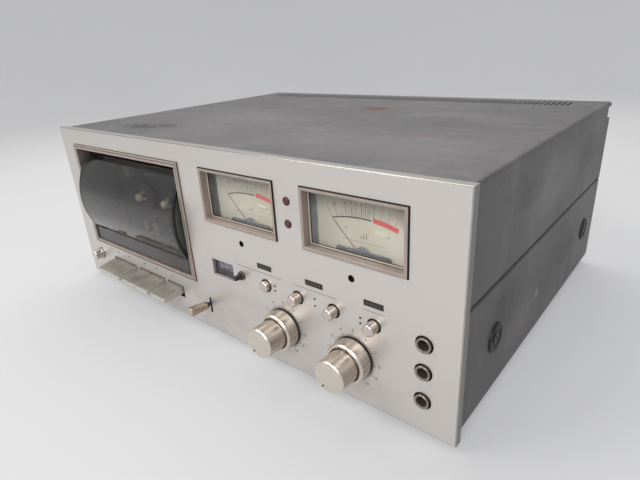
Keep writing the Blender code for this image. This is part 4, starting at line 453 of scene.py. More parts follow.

# %% [markdown]
# ## The panel's satin aluminium
# The panel is thick plate with a matt silver face. A flat grey would look like paper, and a
# mirror would look like chrome, so it is a rough metal with fine brush lines, a little cloud,
# and grey smudges where hands have worked the keys. The bevelled edge, the rim and the walls
# of the holes are painted darker as painted shade, and each is found by its place on the plate.

# %% The panel's finish
PANEL_COLOUR = srgb(215, 210, 205)
# The bevel and the rim are painted darker than the face: painted shade that damps the lamps' glint on them
BEVEL_SHADE_COLOUR = srgb(176, 172, 168)
RIM_SHADE_COLOUR = srgb(150, 147, 143)
GRIME_COLOUR = srgb(150, 144, 133)
BEVEL_WIDTH = 0.7 * MM
RIM_DEPTH = 0.05 * MM
# Holes lie at least this far inside the outline, and their walls get painted shade between these depths
HOLES_WITHIN = 2.0 * MM
HOLE_FROM, HOLE_DARK = 0.25 * MM, 0.6 * MM
HOLE_SHADE_COLOUR = srgb(58, 54, 51)
# Hands leave grime on the panel up to this height
GRIME_UP = 60 * MM


def near_outline(tree, parts, width):
    """1 where the panel is within this width of its outline."""
    sides = []
    for axis in (0, 2):
        below = maths(tree, "LESS_THAN", parts[axis], PANEL_LOW[axis] + width)
        above = maths(tree, "GREATER_THAN", parts[axis], PANEL_HIGH[axis] - width)
        sides.append(maths(tree, "MAXIMUM", below, above))
    return maths(tree, "MAXIMUM", *sides)


def panel_finish():
    """Satin plate, with painted shade on its bevel, its rim and the walls of its holes."""
    made, tree, inputs, where = start_finish("satin aluminium", PANEL_COLOUR, 0.42, 0.72)
    age = use(tree, AGE, {"Vector": where, "Cloud": 7.0, "Smudge": 26.0})
    lines = use(tree, BRUSH, {"Vector": where})["Lines"]
    parts = split(tree, where)
    # The bevel, the rim and the hole walls below are masks for painted shade
    bevel = times(tree, near_outline(tree, parts, BEVEL_WIDTH),
                  maths(tree, "LESS_THAN", parts["Y"], FACE + BEVEL_WIDTH))
    rim = near_outline(tree, parts, RIM_DEPTH)
    within = maths(tree, "SUBTRACT", 1.0, near_outline(tree, parts, HOLES_WITHIN))
    hole = times(tree, within, ranged(tree, parts["Y"], FACE + HOLE_FROM, FACE + HOLE_DARK))
    grime = times(tree, age["Smudges"],
                  ranged(tree, parts["Z"], PANEL_LOW.z + GRIME_UP, PANEL_LOW.z, 0.10, 0.30))
    colour = blend_colour(tree, times(tree, age["Clouds"], 0.5),
                          shade(PANEL_COLOUR, 0.95), shade(PANEL_COLOUR, 1.03))
    colour = layered(tree, colour, (lines, 0.12, shade(PANEL_COLOUR, 0.8)), (grime, 1.0, GRIME_COLOUR),
                     (bevel, 1.0, BEVEL_SHADE_COLOUR), (rim, 1.0, RIM_SHADE_COLOUR), (hole, 1.0, HOLE_SHADE_COLOUR))
    rough = ranged(tree, age["Smudges"], 0.0, 1.0, 0.40, 0.50)
    rough = maths(tree, "SUBTRACT", rough, times(tree, bevel, 0.16))
    rough = maths(tree, "ADD", rough, times(tree, rim, 0.25))
    feed(tree, inputs, Base_Color=colour, Roughness=rough, Normal=bump(tree, lines, 0.01 * MM, 0.5))
    return made


PANEL = panel_finish()
print("panel finish", PANEL.name)

# %% [markdown]
# ## The case's grey paint
# The case is folded sheet with a semi-matt grey coat that has a very fine orange-peel. It is
# the most worn part: long pale smudges on the cover, a rusty stain, dark scuffs at the front
# edge, chips on the side, and bright thin edges. Stains are patches at real places, so they
# stay put from every side.

# %% Marks on the case
CASE_COLOUR = srgb(72, 69, 69)
DUST_COLOUR = srgb(117, 112, 113)
SCUFF_COLOUR = srgb(48, 47, 47)
RUST_COLOUR = srgb(88, 62, 52)
CHIP_COLOUR = srgb(170, 168, 162)
COVER_LOW, COVER_HIGH = corners("top_cover")


def on_cover(across, depth):
    """A place on top of the cover, across from its middle and behind the panel's face, in metres."""
    return (across, FACE + depth, COVER_HIGH.z)


def on_side(depth, up):
    """A place on the case's right side, behind the panel's face and up from its lower edge, in metres."""
    return (COVER_HIGH.x, FACE + depth, PANEL_LOW.z + up)


# Each mark is a colour, a centre, a radius, a stretch, how ragged its edge is, and how strong it is
CASE_MARKS = (
    (RUST_COLOUR, on_cover(0.024, 0.203), 0.014, (0.55, 1.0, 1.0), 0.9, 1.0),
    (SCUFF_COLOUR, on_cover(-0.127, 0.040), 0.015, (0.45, 1.0, 1.0), 1.0, 0.9),
    (SCUFF_COLOUR, on_cover(-0.105, 0.052), 0.011, (0.45, 1.0, 1.0), 0.8, 0.8),
    (SCUFF_COLOUR, on_cover(0.118, 0.150), 0.020, (0.5, 1.0, 1.0), 1.0, 0.5),
    (SCUFF_COLOUR, on_cover(0.150, 0.215), 0.018, (0.5, 1.0, 1.0), 1.0, 0.55),
    (RUST_COLOUR, on_cover(0.135, 0.100), 0.006, (0.5, 1.0, 1.0), 1.0, 0.6),
    (DUST_COLOUR, on_cover(-0.060, 0.110), 0.060, (0.6, 1.0, 1.0), 0.5, 0.25),
    (DUST_COLOUR, on_cover(0.100, 0.060), 0.050, (0.4, 1.0, 1.0), 0.5, 0.28),
    (CHIP_COLOUR, on_side(0.134, 0.038), 0.0035, (1, 1, 1), 1.0, 0.8),
    (SCUFF_COLOUR, on_side(0.090, 0.125), 0.030, (1, 0.5, 1.4), 0.25, 0.50),
    (SCUFF_COLOUR, on_side(0.062, 0.060), 0.030, (1, 0.8, 1.0), 0.25, 0.55),
    (SCUFF_COLOUR, on_side(0.205, 0.048), 0.034, (1, 0.5, 1.0), 0.25, 0.55),
    (SCUFF_COLOUR, on_side(0.230, 0.120), 0.030, (1, 0.6, 1.0), 0.25, 0.50),
    (DUST_COLOUR, on_side(0.150, 0.118), 0.036, (1, 0.5, 1.3), 0.25, 0.40),
    (DUST_COLOUR, on_side(0.105, 0.030), 0.026, (1, 0.6, 1.2), 0.25, 0.40),
)
print("marks on the case", len(CASE_MARKS))

# %% The case's finish
def case_finish():
    """Worn semi-matt paint on sheet metal."""
    made, tree, inputs, where = start_finish("grey case paint", CASE_COLOUR, 0.46, Specular_IOR_Level=0.65)
    age = use(tree, AGE, {"Vector": where, "Cloud": 11.0, "Smudge": 42.0})
    colour = blend_colour(tree, age["Clouds"], shade(CASE_COLOUR, 0.80), shade(CASE_COLOUR, 1.16))
    runs = ranged(tree, noise(tree, stretched(tree, where, (1.0, 1.0, 0.3)), 46.0, 5.0, 0.6, 0.8), 0.50, 0.72)
    stains = ranged(tree, noise(tree, where, 75.0, 4.0, 0.6), 0.56, 0.70)
    colour = layered(tree, colour, (age["Smudges"], 0.38, DUST_COLOUR), (runs, 0.30, DUST_COLOUR),
                     (stains, 0.45, SCUFF_COLOUR), (age["Specks"], 0.20, CHIP_COLOUR))
    matt = 0.0
    for mark, centre, radius, stretch, ragged, amount in CASE_MARKS:
        mask = use(tree, PATCH, {"Vector": where, "Centre": centre, "Radius": radius,
                                 "Stretch": stretch, "Ragged": ragged})["Mask"]
        colour = layered(tree, colour, (mask, amount, mark))
        if mark != DUST_COLOUR:
            matt = maths(tree, "MAXIMUM", matt, times(tree, mask, amount))
    edge = use(tree, EDGE, {"Vector": where, "Width": 0.7 * MM})
    colour = layered(tree, colour, (edge["Mask"], 0.7, CHIP_COLOUR))
    peel = noise(tree, where, 1500.0)
    cloudy = maths(tree, "ADD", times(tree, age["Clouds"], 0.10), times(tree, age["Smudges"], 0.12))
    rough = maths(tree, "MAXIMUM", maths(tree, "ADD", cloudy, 0.40), times(tree, matt, 0.95))
    feed(tree, inputs, Base_Color=colour, Roughness=rough,
         Normal=bump(tree, peel, 0.03 * MM, 0.6, edge["Normal"]))
    return made


CASE = case_finish()
print("case finish with", len(CASE.node_tree.nodes), "nodes")

# %% [markdown]
# ## Plated steel, turned metal and chrome
# Inside parts are plated sheet: cool, slightly cloudy and brushed by rolling. Knobs and rings
# are turned from bar and lacquered a warm champagne, so they carry a lathe's fine rings and
# long streaks; their sides carry painted dark bands, a painted reflection of what round metal
# mirrors. Buttons are plated smooth and mirror more. The turned finish is made once for each axis.

# %% Metals
STEEL_COLOUR = srgb(176, 176, 172)
CHAMPAGNE_COLOUR = srgb(221, 212, 201)
CHROME_COLOUR = srgb(222, 220, 214)


def steel_finish():
    """Zinc-plated sheet."""
    made, tree, inputs, where = start_finish("plated steel", STEEL_COLOUR, 0.38, 0.9)
    age = use(tree, AGE, {"Vector": where, "Cloud": 60.0, "Smudge": 90.0})
    lines = use(tree, BRUSH, {"Vector": where, "Along": 60.0, "Across": 2600.0})["Lines"]
    colour = blend_colour(tree, age["Clouds"], shade(STEEL_COLOUR, 0.86), shade(STEEL_COLOUR, 1.06))
    feed(tree, inputs, Base_Color=colour, Roughness=ranged(tree, lines, 0.0, 1.0, 0.30, 0.46),
         Normal=bump(tree, lines, 0.01 * MM, 0.6))
    return made


def warm(colour):
    """A colour a little browner: a painted reflection of a darker side in the lacquer."""
    return tuple(part * tint for part, tint in zip(colour, (1.0, 0.93, 0.87)))


def turned_finish(name, colour, centre, low=0.28, high=0.36, bright=1.03, streaks=2.5):
    """Turned metal round an axis along Y through the centre."""
    made, tree, inputs, where = start_finish(name, colour, low, 0.85)
    marks = use(tree, TURNED, {"Vector": vectors(tree, "SUBTRACT", where, centre)[0], "Streaks": streaks})
    age = use(tree, AGE, {"Vector": where, "Cloud": 150.0, "Smudge": 260.0})
    tone = blend_colour(tree, marks["Streak"], shade(colour, 0.92), shade(colour, bright))
    # Dark bands on the sides, by angle round the axis: a painted reflection of darker surroundings in round
    # metal
    ahead = maths(tree, "ABSOLUTE", split(tree, add(tree, "ShaderNodeNewGeometry").outputs["Normal"])["Y"])
    side = ranged(tree, ahead, 0.6, 0.2)
    painted_reflection_bands = ranged(tree, marks["Streak"], 0.25, 0.85, 0.85, 0.15)
    tone = layered(tree, tone, (age["Smudges"], 0.25, shade(colour, 0.70)),
                   (side, painted_reflection_bands, warm(shade(colour, 0.55))))
    rough = ranged(tree, marks["Streak"], 0.0, 1.0, low, high)
    feed(tree, inputs, Base_Color=tone, Roughness=rough, Normal=bump(tree, marks["Rings"], 0.004 * MM, 0.5))
    return made


STEEL = steel_finish()
CHROME = turned_finish("plated button", CHROME_COLOUR, (0, 0, 0), 0.10, 0.18, 1.05, 3.0)
print("metals", STEEL.name, "and", CHROME.name)

# %% [markdown]
# ## Moulded plastic, rubber and glass
# Moulded parts differ mostly in colour: each has a faint grain from its mould and dulls where
# it is touched. Rubber is darker, rougher and dusty. One function makes them all, which keeps
# them alike, as parts from one maker are. The visor and lenses are clear and need their own.

# %% Plastics and rubber
MOULD_DUST = srgb(205, 200, 192)


def moulded_finish(name, colour, roughness=0.42, grain=0.02, wear=0.25, dusty=0.1):
    """Moulded plastic with grain, cloud, dust and edges that have rubbed paler."""
    made, tree, inputs, where = start_finish(name, colour, roughness)
    age = use(tree, AGE, {"Vector": where, "Cloud": 120.0, "Smudge": 170.0})
    tone = blend_colour(tree, age["Clouds"], shade(colour, 0.92), shade(colour, 1.07))
    edge = use(tree, EDGE, {"Vector": where, "Width": 0.4 * MM})
    tone = layered(tree, tone, (age["Specks"], dusty, MOULD_DUST), (edge["Mask"], wear, shade(colour, 1.7)))
    rough = ranged(tree, age["Smudges"], 0.0, 1.0, roughness - 0.06, roughness + 0.12)
    texture = noise(tree, where, 2600.0)
    feed(tree, inputs, Base_Color=tone, Roughness=rough,
         Normal=bump(tree, texture, grain * MM, 0.5, edge["Normal"]))
    return made


TAUPE = moulded_finish("taupe bezel", srgb(152, 138, 129), 0.36)
BLACK = moulded_finish("black plastic", srgb(24, 24, 25), 0.38)
SHADOW = moulded_finish("dark recess", srgb(14, 13, 13), 0.75, wear=0.0, dusty=0.0)
RUBBER = moulded_finish("rubber", srgb(30, 29, 28), 0.80, grain=0.06, wear=0.1, dusty=0.4)
BOARD = moulded_finish("circuit board", srgb(54, 92, 58), 0.45)
print("finishes", len(bpy.data.materials))

# %% [markdown]
# ## Dressing the solids that stay
# The sheet-metal parts are already the right shape, so they keep their solids and only get a
# finish. Assigning to the material slots leaves the mesh alone, which the frame requires.

# %% Finishes for the solids that stay
KEPT = (
    (PANEL, ("front_panel",)),
    (CASE, ("base_chassis", "top_cover", "rear_panel")),
    (STEEL, ("front_frame", "deck_plate", "head_bridge", "pinch_arm", "capstan_flywheel", "motor",
             "motor_pulley", "key_axle", "pot_left", "pot_right", "transformer")),
    (BLACK, ("counter_housing", "switch_bank", "socket_strip")),
    (RUBBER, ("pinch_roller", "drive_belt")),
    (BOARD, ("main_board",)),
)


def paint(node, material):
    """Give every slot of one solid this material."""
    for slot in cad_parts[node].material_slots:
        slot.material = material


for material, nodes in KEPT:
    for node in nodes:
        paint(node, material)
print("dressed", sum(len(nodes) for material, nodes in KEPT), "solids")

# %% [markdown]
# ## Turning and cutting pieces
# Two helpers make nearly all the small parts. `lathe` spins a profile of (radius, out) points
# round an axis, as a lathe does, and `slab` gives a flat outline thickness and breaks its
# edges. Corners are filleted in the outline itself, since every real edge catches light.
# Each piece is left at the origin with its place in its mesh, so patterns never slide.

# %% Outlines and where they stand
TOWARDS_EYE = Vector((0, -1, 0))
# No bend's sides take more than this share of a line, so two bends never meet on it
BEND_SHARE = 0.49


def fillet(points, radius, steps=4, closed=False):
    """The outline with its corners rounded by up to the radius, or by a list with one for each."""
    count = len(points)
    radii = radius if isinstance(radius, (list, tuple)) else [radius] * count
    made = []
    for index, point in enumerate(points):
        here = Vector(point)
        if (not closed and index in (0, count - 1)) or radii[index] == 0:
            made.append(tuple(here))
            continue
        before = Vector(points[index - 1]) - here
        after = Vector(points[(index + 1) % count]) - here
        reach = min(radii[index], before.length * BEND_SHARE, after.length * BEND_SHARE)
        start, end = here + before.normalized() * reach, here + after.normalized() * reach
        for step in range(steps + 1):
            share = step / steps
            made.append(tuple(start * (1 - share) ** 2 + here * 2 * share * (1 - share) + end * share ** 2))
    return made


def circle(radius, sides=48, centre=(0, 0), start=0.0, sweep=360.0):
    """Points round an arc, in degrees from the right, turning left."""
    steps = sides if sweep == 360 else sides + 1
    angles = [math.radians(start + sweep * step / sides) for step in range(steps)]
    return [(centre[0] + radius * math.cos(angle), centre[1] + radius * math.sin(angle)) for angle in angles]


def facing(direction, place):
    """The matrix that stands a piece made along +Z on a place, looking along the direction."""
    return Matrix.Translation(place) @ Vector(direction).to_track_quat("Z", "Y").to_matrix().to_4x4()


def block(x, y):
    """The outline of a rectangle between two ends each way."""
    return [(x[0], y[0]), (x[1], y[0]), (x[1], y[1]), (x[0], y[1])]


sample = block((0, 1), (0, 1))
print("a block's corners", len(sample), "and filleted", len(fillet(sample, 0.1, closed=True)))

# %% From a bmesh to a piece
WELD = 0.0004 * MM


def weld(part):
    """Join what touches and point the faces outwards."""
    bmesh.ops.remove_doubles(part, verts=part.verts, dist=WELD)
    bmesh.ops.recalc_face_normals(part, faces=part.faces)


def finish_piece(name, shape, materials, sharp=32):
    """Turn a bmesh into a named piece with clean normals and smooth shading."""
    weld(shape)
    data = bpy.data.meshes.new(name)
    shape.to_mesh(data)
    shape.free()
    data.shade_smooth()
    data.set_sharp_from_angle(angle=math.radians(sharp))
    for material in materials if isinstance(materials, (list, tuple)) else [materials]:
        data.materials.append(material)
    piece = bpy.data.objects.new(name, data)
    bpy.context.scene.collection.objects.link(piece)
    return piece


def pour(shape, part):
    """Put one bmesh into a larger one and drop it."""
    holder = bpy.data.meshes.new("part")
    part.to_mesh(holder)
    part.free()
    shape.from_mesh(holder)
    bpy.data.meshes.remove(holder)


def add_part(shape, part, matrix, slot):
    """Weld a part, put it in its place, and add it to a larger bmesh with a material slot."""
    weld(part)
    for face in part.faces:
        face.material_index = slot
    part.transform(matrix)
    pour(shape, part)


print("points nearer than", WELD, "m are welded")

# %% The lathe
def spun(shape, profile, matrix, sides, closed=False, slot=0):
    """Add a turned solid to a bmesh, from (radius, out) points in millimetres."""
    made = bmesh.new()
    ring = [made.verts.new((radius * MM, 0, out * MM)) for radius, out in profile]
    pairs = list(zip(ring, ring[1:])) + ([(ring[-1], ring[0])] if closed else [])
    edges = [made.edges.new(pair) for pair in pairs]
    bmesh.ops.spin(made, geom=ring + edges, axis=(0, 0, 1), cent=(0, 0, 0), steps=sides, angle=FULL_TURN)
    add_part(shape, made, matrix, slot)


def lathe(name, profile, place, material, sides=72, closed=False):
    """A turned piece that stands on a place and faces forwards; its profile is in millimetres."""
    shape = bmesh.new()
    spun(shape, profile, facing(TOWARDS_EYE, place), sides, closed)
    return finish_piece(name, shape, material)


sample = bmesh.new()
spun(sample, [(1, 0), (1, 2)], Matrix(), 12)
print("a turned tube has", len(sample.faces), "faces")
sample.free()

# %% The slab
# Edges sharper than this, in degrees, get a bevel
HARD_EDGE = 35


def slab(shape, outline, low, high, matrix, edge=0.0, steps=2, slot=0):
    """Add a flat outline with thickness, its sharp edges broken by a bevel, all in millimetres."""
    made = bmesh.new()
    face = made.faces.new([made.verts.new((x * MM, y * MM, low * MM)) for x, y in outline])
    lifted = bmesh.ops.extrude_face_region(made, geom=[face])["geom"]
    rise = [item for item in lifted if isinstance(item, bmesh.types.BMVert)]
    bmesh.ops.translate(made, vec=(0, 0, (high - low) * MM), verts=rise)
    bmesh.ops.recalc_face_normals(made, faces=made.faces)
    if edge:
        made.normal_update()
        hard = [item for item in made.edges if item.calc_face_angle(0) > math.radians(HARD_EDGE)]
        bmesh.ops.bevel(made, geom=hard, offset=edge * MM, segments=steps, profile=0.5, affect="EDGES",
                        clamp_overlap=True)
    add_part(shape, made, matrix, slot)


sample = bmesh.new()
slab(sample, block((0, 9), (0, 5)), 0, 1, Matrix(), 0.2)
print("a slab with broken edges has", len(sample.faces), "faces")
sample.free()

# %% Settling a piece, and measuring a solid
def settle(piece, body, slot, *nodes):
    """Let a piece ride on its body and stand for its solids; the slot is not used."""
    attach(piece, body)
    if nodes:
        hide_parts(*nodes)
    return piece


def front_round(node):
    """A round solid's axis at the panel's face, its radius, and how far out it reaches, in millimetres."""
    low, high = corners(node)
    centre = (low + high) / 2
    return Vector((centre.x, FACE, centre.z)), (high.x - low.x) / 2 / MM, (FACE - low.y) / MM


print("left knob's radius and reach", [round(size, 2) for size in front_round("knob_left")[1:]])

# %% [markdown]
# ## Double knobs
# Each control is two knobs on one axis: a wide ring at the panel and a tall knob through it.
# They are turned from bar, so a lathe profile is the honest way to make them. The bright
# line round each face is a small polished bevel, and a dark notch marks where each points.
# Faces stop a hair short of the solids' front, so the notch's filling stays inside the box.

# %% Rings and knobs
KNOB_SIDES = 96
NOTCH_HALF, NOTCH_DEEP, NOTCH_SHY = 0.45, 0.15, 0.02
# Room between the ring's bore and the knob, and how far the faces stop short of the solids'
RING_PLAY, RING_SHY, CAP_SHY = 0.55, 0.05, 0.06
# The side, then where the ring's and the knob's notches point, clockwise from the top in degrees
POINTERS = (("left", 65, -145), ("right", -14, -149))


def notch(shape, matrix, angle, inner, outer, reach):
    """A dark mark along a radius, just short of how far the solid reaches."""
    spin = Matrix.Rotation(math.radians(-angle), 4, "Z")
    face = reach - NOTCH_SHY
    outline = block((-NOTCH_HALF, NOTCH_HALF), (inner, outer))
    slab(shape, outline, face - NOTCH_DEEP, face, matrix @ spin, slot=1)


def knob_pair(side, ring_angle, knob_angle):
    """The ring and the knob of one control, each on its own body."""
    axis, radius, reach = front_round("knob_ring_" + side)
    inner, tall = front_round("knob_" + side)[1:]
    matrix = facing(TOWARDS_EYE, axis)
    finish = turned_finish("champagne " + side, CHAMPAGNE_COLOUR, axis)
    bore, face = inner + RING_PLAY, reach - RING_SHY
    profile = [(bore, 1.0), (radius - 0.5, 1.0), (radius, 1.5), (radius, face - 1.1), (radius - 0.95, face),
               (bore + 0.5, face), (bore, face - 0.5)]
    ring = bmesh.new()
    edged = fillet(profile, [0, 0.2, 0.2, 0.25, 0.25, 0.2, 0.2], 3, closed=True)
    spun(ring, edged, matrix, KNOB_SIDES, closed=True)
    notch(ring, matrix, ring_angle, bore + 0.8, radius - 1.1, reach)
    # A dark washer under the ring's lip, in the dark recess finish, is painted shadow where the ring meets
    # the panel
    painted_shadow_washer = [(bore + 0.4, 0.03), (radius + 0.45, 0.03), (radius + 0.45, 0.25), (radius - 0.4, 0.95),
             (bore + 0.4, 0.95)]
    spun(ring, painted_shadow_washer, matrix, KNOB_SIDES, closed=True, slot=1)
    ring = finish_piece("ring_" + side, ring, [finish, SHADOW], 40)
    settle(ring, side + "_ring", "champagne", "knob_ring_" + side)
    face = tall - CAP_SHY
    profile = [(0, 1.4), (inner - 0.2, 1.4), (inner, 1.6), (inner, face - 0.95), (inner - 0.85, face),
               (0, face)]
    knob = bmesh.new()
    edged = fillet(profile, [0, 0.1, 0.1, 0.25, 0.25, 0], 3)
    spun(knob, edged, matrix, KNOB_SIDES)
    notch(knob, matrix, knob_angle, inner - 3.6, inner - 0.9, tall)
    knob = finish_piece("knob_" + side + "_cap", knob, [finish, SHADOW], 40)
    settle(knob, side + "_knob", "champagne", "knob_" + side)


for side, ring_angle, knob_angle in POINTERS:
    knob_pair(side, ring_angle, knob_angle)

# %% [markdown]
# ## Buttons, lamps and sockets
# The round buttons are small caps of the same plated metal, with a soft edge and a face that
# is very slightly domed. Sockets have a bright dished nut round a dark bore, and the lamps are
# red domes in a dark ring. All are profiles for the lathe.

# %% Round buttons
CAP_BACK = 6.0
# How much of the crown is lost at two thirds and at one third of the radius
CROWN_OUT, CROWN_IN = 0.5, 0.12
NICKEL_COLOUR = srgb(210, 199, 191)


def button_metal(name, node, colour, low, high):
    """Turned metal centred on a button or a nut."""
    centre = middle(node)
    return turned_finish(name, colour, (centre.x, 0, centre.z), low, high)


def cap(node, name, body, material, crown=0.5, edge=0.7):
    """A round button that stands for its solid, from behind the panel to its domed face."""
    axis, radius, reach = front_round(node)
    dome = [(radius - edge, reach - crown), (radius * 0.66, reach - crown * CROWN_OUT),
            (radius * 0.33, reach - crown * CROWN_IN), (0, reach)]
    profile = [(0, -CAP_BACK), (radius, -CAP_BACK), (radius, reach - crown - edge)] + dome
    piece = lathe(name, fillet(profile, [0, 0, edge] + [0.3] * 4), axis, material)
    settle(piece, body, "chrome", node)


for number in (1, 2, 3, 4):
    node = "push_button_{}".format(number)
    nickel = button_metal("nickel {}".format(number), node, NICKEL_COLOUR, 0.22, 0.32)
    cap(node, node + "_cap", "push_{}".format(number), nickel)
power_metal = button_metal("nickel power", "power_button", CHROME_COLOUR, 0.12, 0.22)
cap("power_button", "power_cap", "power", power_metal, crown=0.9, edge=0.9)

# %% Reset button
SMALL_SIDES = 40
RESET_RADIUS, RESET_TIP, RESET_BACK = 2.1, 1.6, -5.5
COLLAR_BORE, COLLAR_RADIUS, COLLAR_TIP, COLLAR_FACE = 2.35, 3.5, 3.1, 1.58
axis, _, reach = front_round("reset_button")
stem = [(0, RESET_BACK), (RESET_RADIUS, RESET_BACK), (RESET_RADIUS, reach - 0.5), (RESET_TIP, reach),
        (0, reach)]
reset = lathe("reset_cap", fillet(stem, [0, 0, 0.3, 0.3, 0]), axis, BLACK, SMALL_SIDES)
settle(reset, "reset", "black_plastic", "reset_button")
collar = [(COLLAR_BORE, 0.02), (COLLAR_RADIUS, 0.02), (COLLAR_RADIUS, 1.2), (COLLAR_TIP, COLLAR_FACE),
          (COLLAR_BORE, COLLAR_FACE)]
collar = lathe("reset_collar", fillet(collar, 0.25, 3, closed=True), axis, BLACK, SMALL_SIDES, closed=True)
settle(collar, "deck", "black_plastic")
print("reset button reaches", round(reach, 2), "mm")

# %% Lamps
LAMP_RADIUS, LAMP_FLANGE = 2.2, 1.2
LAMP_DEEP, LAMP_BRIGHT = srgb(60, 16, 20), srgb(112, 33, 39)
LAMP_RING = [(2.3, 0.02), (2.85, 0.02), (2.85, 0.3), (2.6, 0.5), (2.3, 0.4)]


def lamp_finish():
    """Dark red moulded lens: deep colour with a clear gloss coat."""
    made, tree, inputs, where = start_finish("lamp red", LAMP_DEEP, 0.14, Coat_Weight=0.3)
    cloud = noise(tree, where, 900.0)
    feed(tree, inputs, Base_Color=blend_colour(tree, cloud, LAMP_DEEP, LAMP_BRIGHT))
    return made


LAMP = lamp_finish()
for name in ("upper", "lower"):
    axis, flange, reach = front_round("lamp_" + name)
    back = (FACE - corners("lamp_" + name)[1].y) / MM
    turns = [math.radians(turn) for turn in range(0, 91, 10)]
    dome = [(LAMP_RADIUS * math.cos(turn), reach * math.sin(turn)) for turn in turns]
    step = back + LAMP_FLANGE
    profile = [(0, back), (flange, back), (flange, step), (LAMP_RADIUS, step)] + dome
    lens = lathe("lamp_{}_lens".format(name), profile, axis, LAMP, SMALL_SIDES)
    settle(lens, "deck", "lamp", "lamp_" + name)
    ring = lathe("lamp_{}_ring".format(name), LAMP_RING, axis, BLACK, SMALL_SIDES, closed=True)
    settle(ring, "deck", "black_plastic")
print("lamps' flanges", round(2 * flange, 1), "mm across")

# %% Nuts round the sockets
NUT_BORE, NUT_RADIUS, NUT_FACE = 3.4, 4.75, 0.62
NUT_COLOUR = srgb(156, 146, 137)
JACK_BROWN = moulded_finish("jack brown", srgb(76, 65, 57), 0.42)
for name in ("upper", "middle", "lower"):
    paint("jack_" + name, JACK_BROWN)
    axis, _, front = front_round("jack_" + name)
    nut = [(NUT_BORE, front + 0.03), (NUT_RADIUS, front + 0.03), (NUT_RADIUS, front + 0.35),
           (4.5, front + NUT_FACE), (4.15, front + NUT_FACE), (NUT_BORE, front + 0.22)]
    metal = button_metal("jack nut " + name, "jack_" + name, NUT_COLOUR, 0.30, 0.40)
    nut = lathe("jack_nut_" + name, fillet(nut, 0.1, 3, closed=True), axis, metal, closed=True)
    settle(nut, "deck", "chrome")

# %% [markdown]
# ## Frames, plates and printed marks
# Much of the front is rectangular: bezels round the meters, a window for the counter, thin
# plates. A rim sweeps one profile round a rectangle, so its corners meet in a clean mitre.
# Print is ink with almost no thickness, so marks are made as very thin plates that lie on
# the surface. Marks repeated round a circle come from one Geometry Nodes tree.

# %% Plates against the panel
# This stands a flat outline up against the panel: across stays across, and up becomes height
WALL = Matrix.Translation(on_panel(0, 0)) @ Matrix.Rotation(math.pi / 2, 4, "X")


def ends(node):
    """A solid's ends across the panel, out from its face, and up from its lower edge, in millimetres."""
    low, high = corners(node)
    across = (low.x / MM, high.x / MM)
    out = ((FACE - high.y) / MM, (FACE - low.y) / MM)
    return across, out, ((low.z - PANEL_LOW.z) / MM, (high.z - PANEL_LOW.z) / MM)


def widened(span, more, above=None):
    """A pair of ends moved outwards, the second by its own amount if one is given."""
    return span[0] - more, span[1] + (more if above is None else above)


def plate(shape, outline, out, edge=0.0, slot=0):
    """Add a flat piece that stands against the panel: its outline and its ends outwards."""
    slab(shape, outline, out[0], out[1], WALL, edge, slot=slot)


print("left meter's ends across", [round(x, 2) for x in ends("meter_body_left")[0]])

# %% Rims, bands and bars
BAND_STEPS = 24


def rim(shape, across, up, profile, slots=None):
    """Sweep a closed profile of (inset, out) points round a rectangle, in millimetres."""
    made = bmesh.new()
    rings = []
    for inset, out in profile:
        around = block(widened(across, -inset), widened(up, -inset))
        rings.append([made.verts.new((x * MM, z * MM, out * MM)) for x, z in around])
    for index, ring in enumerate(rings):
        after = rings[(index + 1) % len(rings)]
        for turn in range(len(ring)):
            face = made.faces.new((ring[turn], ring[turn - 1], after[turn - 1], after[turn]))
            face.material_index = slots[index] if slots else 0
    made.transform(WALL)
    weld(made)
    pour(shape, made)


def band(centre, inner, outer, start, end):
    """The outline of a curved band between two radii and two angles."""
    arcs = [circle(radius, BAND_STEPS, centre, start, end - start) for radius in (outer, inner)]
    return arcs[0] + arcs[1][::-1]


def bar(start, end, width):
    """The outline of a straight mark between two points."""
    along = Vector((end[0] - start[0], end[1] - start[1]))
    aside = Vector((-along.y, along.x)).normalized() * width / 2
    first, second = Vector(start), Vector(end)
    return [tuple(point) for point in (first + aside, first - aside, second - aside, second + aside)]


print("an upright bar's corners", bar((0, 0), (0, 4), 1))

# %% Numbers
# How thick print is and how far it stands off what it is printed on, in millimetres
INK, LIFT = 0.03, 0.01
FLAT_INK = (LIFT, LIFT + INK)
# The share of a font's size that a digit is high
DIGIT_SHARE = 0.7


def figures(text, height, slot):
    """A number as thin as ink, flat and centred at the origin."""
    curve = bpy.data.curves.new("number", "FONT")
    curve.body, curve.size, curve.extrude = text, height / DIGIT_SHARE * MM, INK / 2 * MM
    curve.align_x, curve.align_y, curve.resolution_u = "CENTER", "CENTER", 3
    holder = bpy.data.objects.new("number", curve)
    flat = bpy.data.meshes.new_from_object(holder)
    made = bmesh.new()
    made.from_mesh(flat)
    bpy.data.meshes.remove(flat)
    bpy.data.objects.remove(holder)
    bpy.data.curves.remove(curve)
    bmesh.ops.remove_doubles(made, verts=made.verts, dist=WELD)
    for face in made.faces:
        face.material_index = slot
    return made


def number(shape, text, height, place, out, slot=0):
    """Print a number, its middle at a place on the panel."""
    made = figures(text, height, slot)
    made.transform(WALL @ Matrix.Translation(Vector((place[0], place[1], out + INK / 2)) * MM))
    pour(shape, made)


sample = figures("8", 2.0, 0)
print("a digit's print has", len(sample.faces), "faces")
sample.free()

# %% Inks
def ink(name, colour, roughness=0.55):
    """Screen-printed ink, worn thin in places."""
    made, tree, inputs, where = start_finish(name, colour, roughness)
    worn = ranged(tree, noise(tree, where, 1800.0, 3.0, 0.6), 0.35, 0.75)
    feed(tree, inputs, Base_Color=blend_colour(tree, worn, colour, shade(colour, 1.5)))
    return made


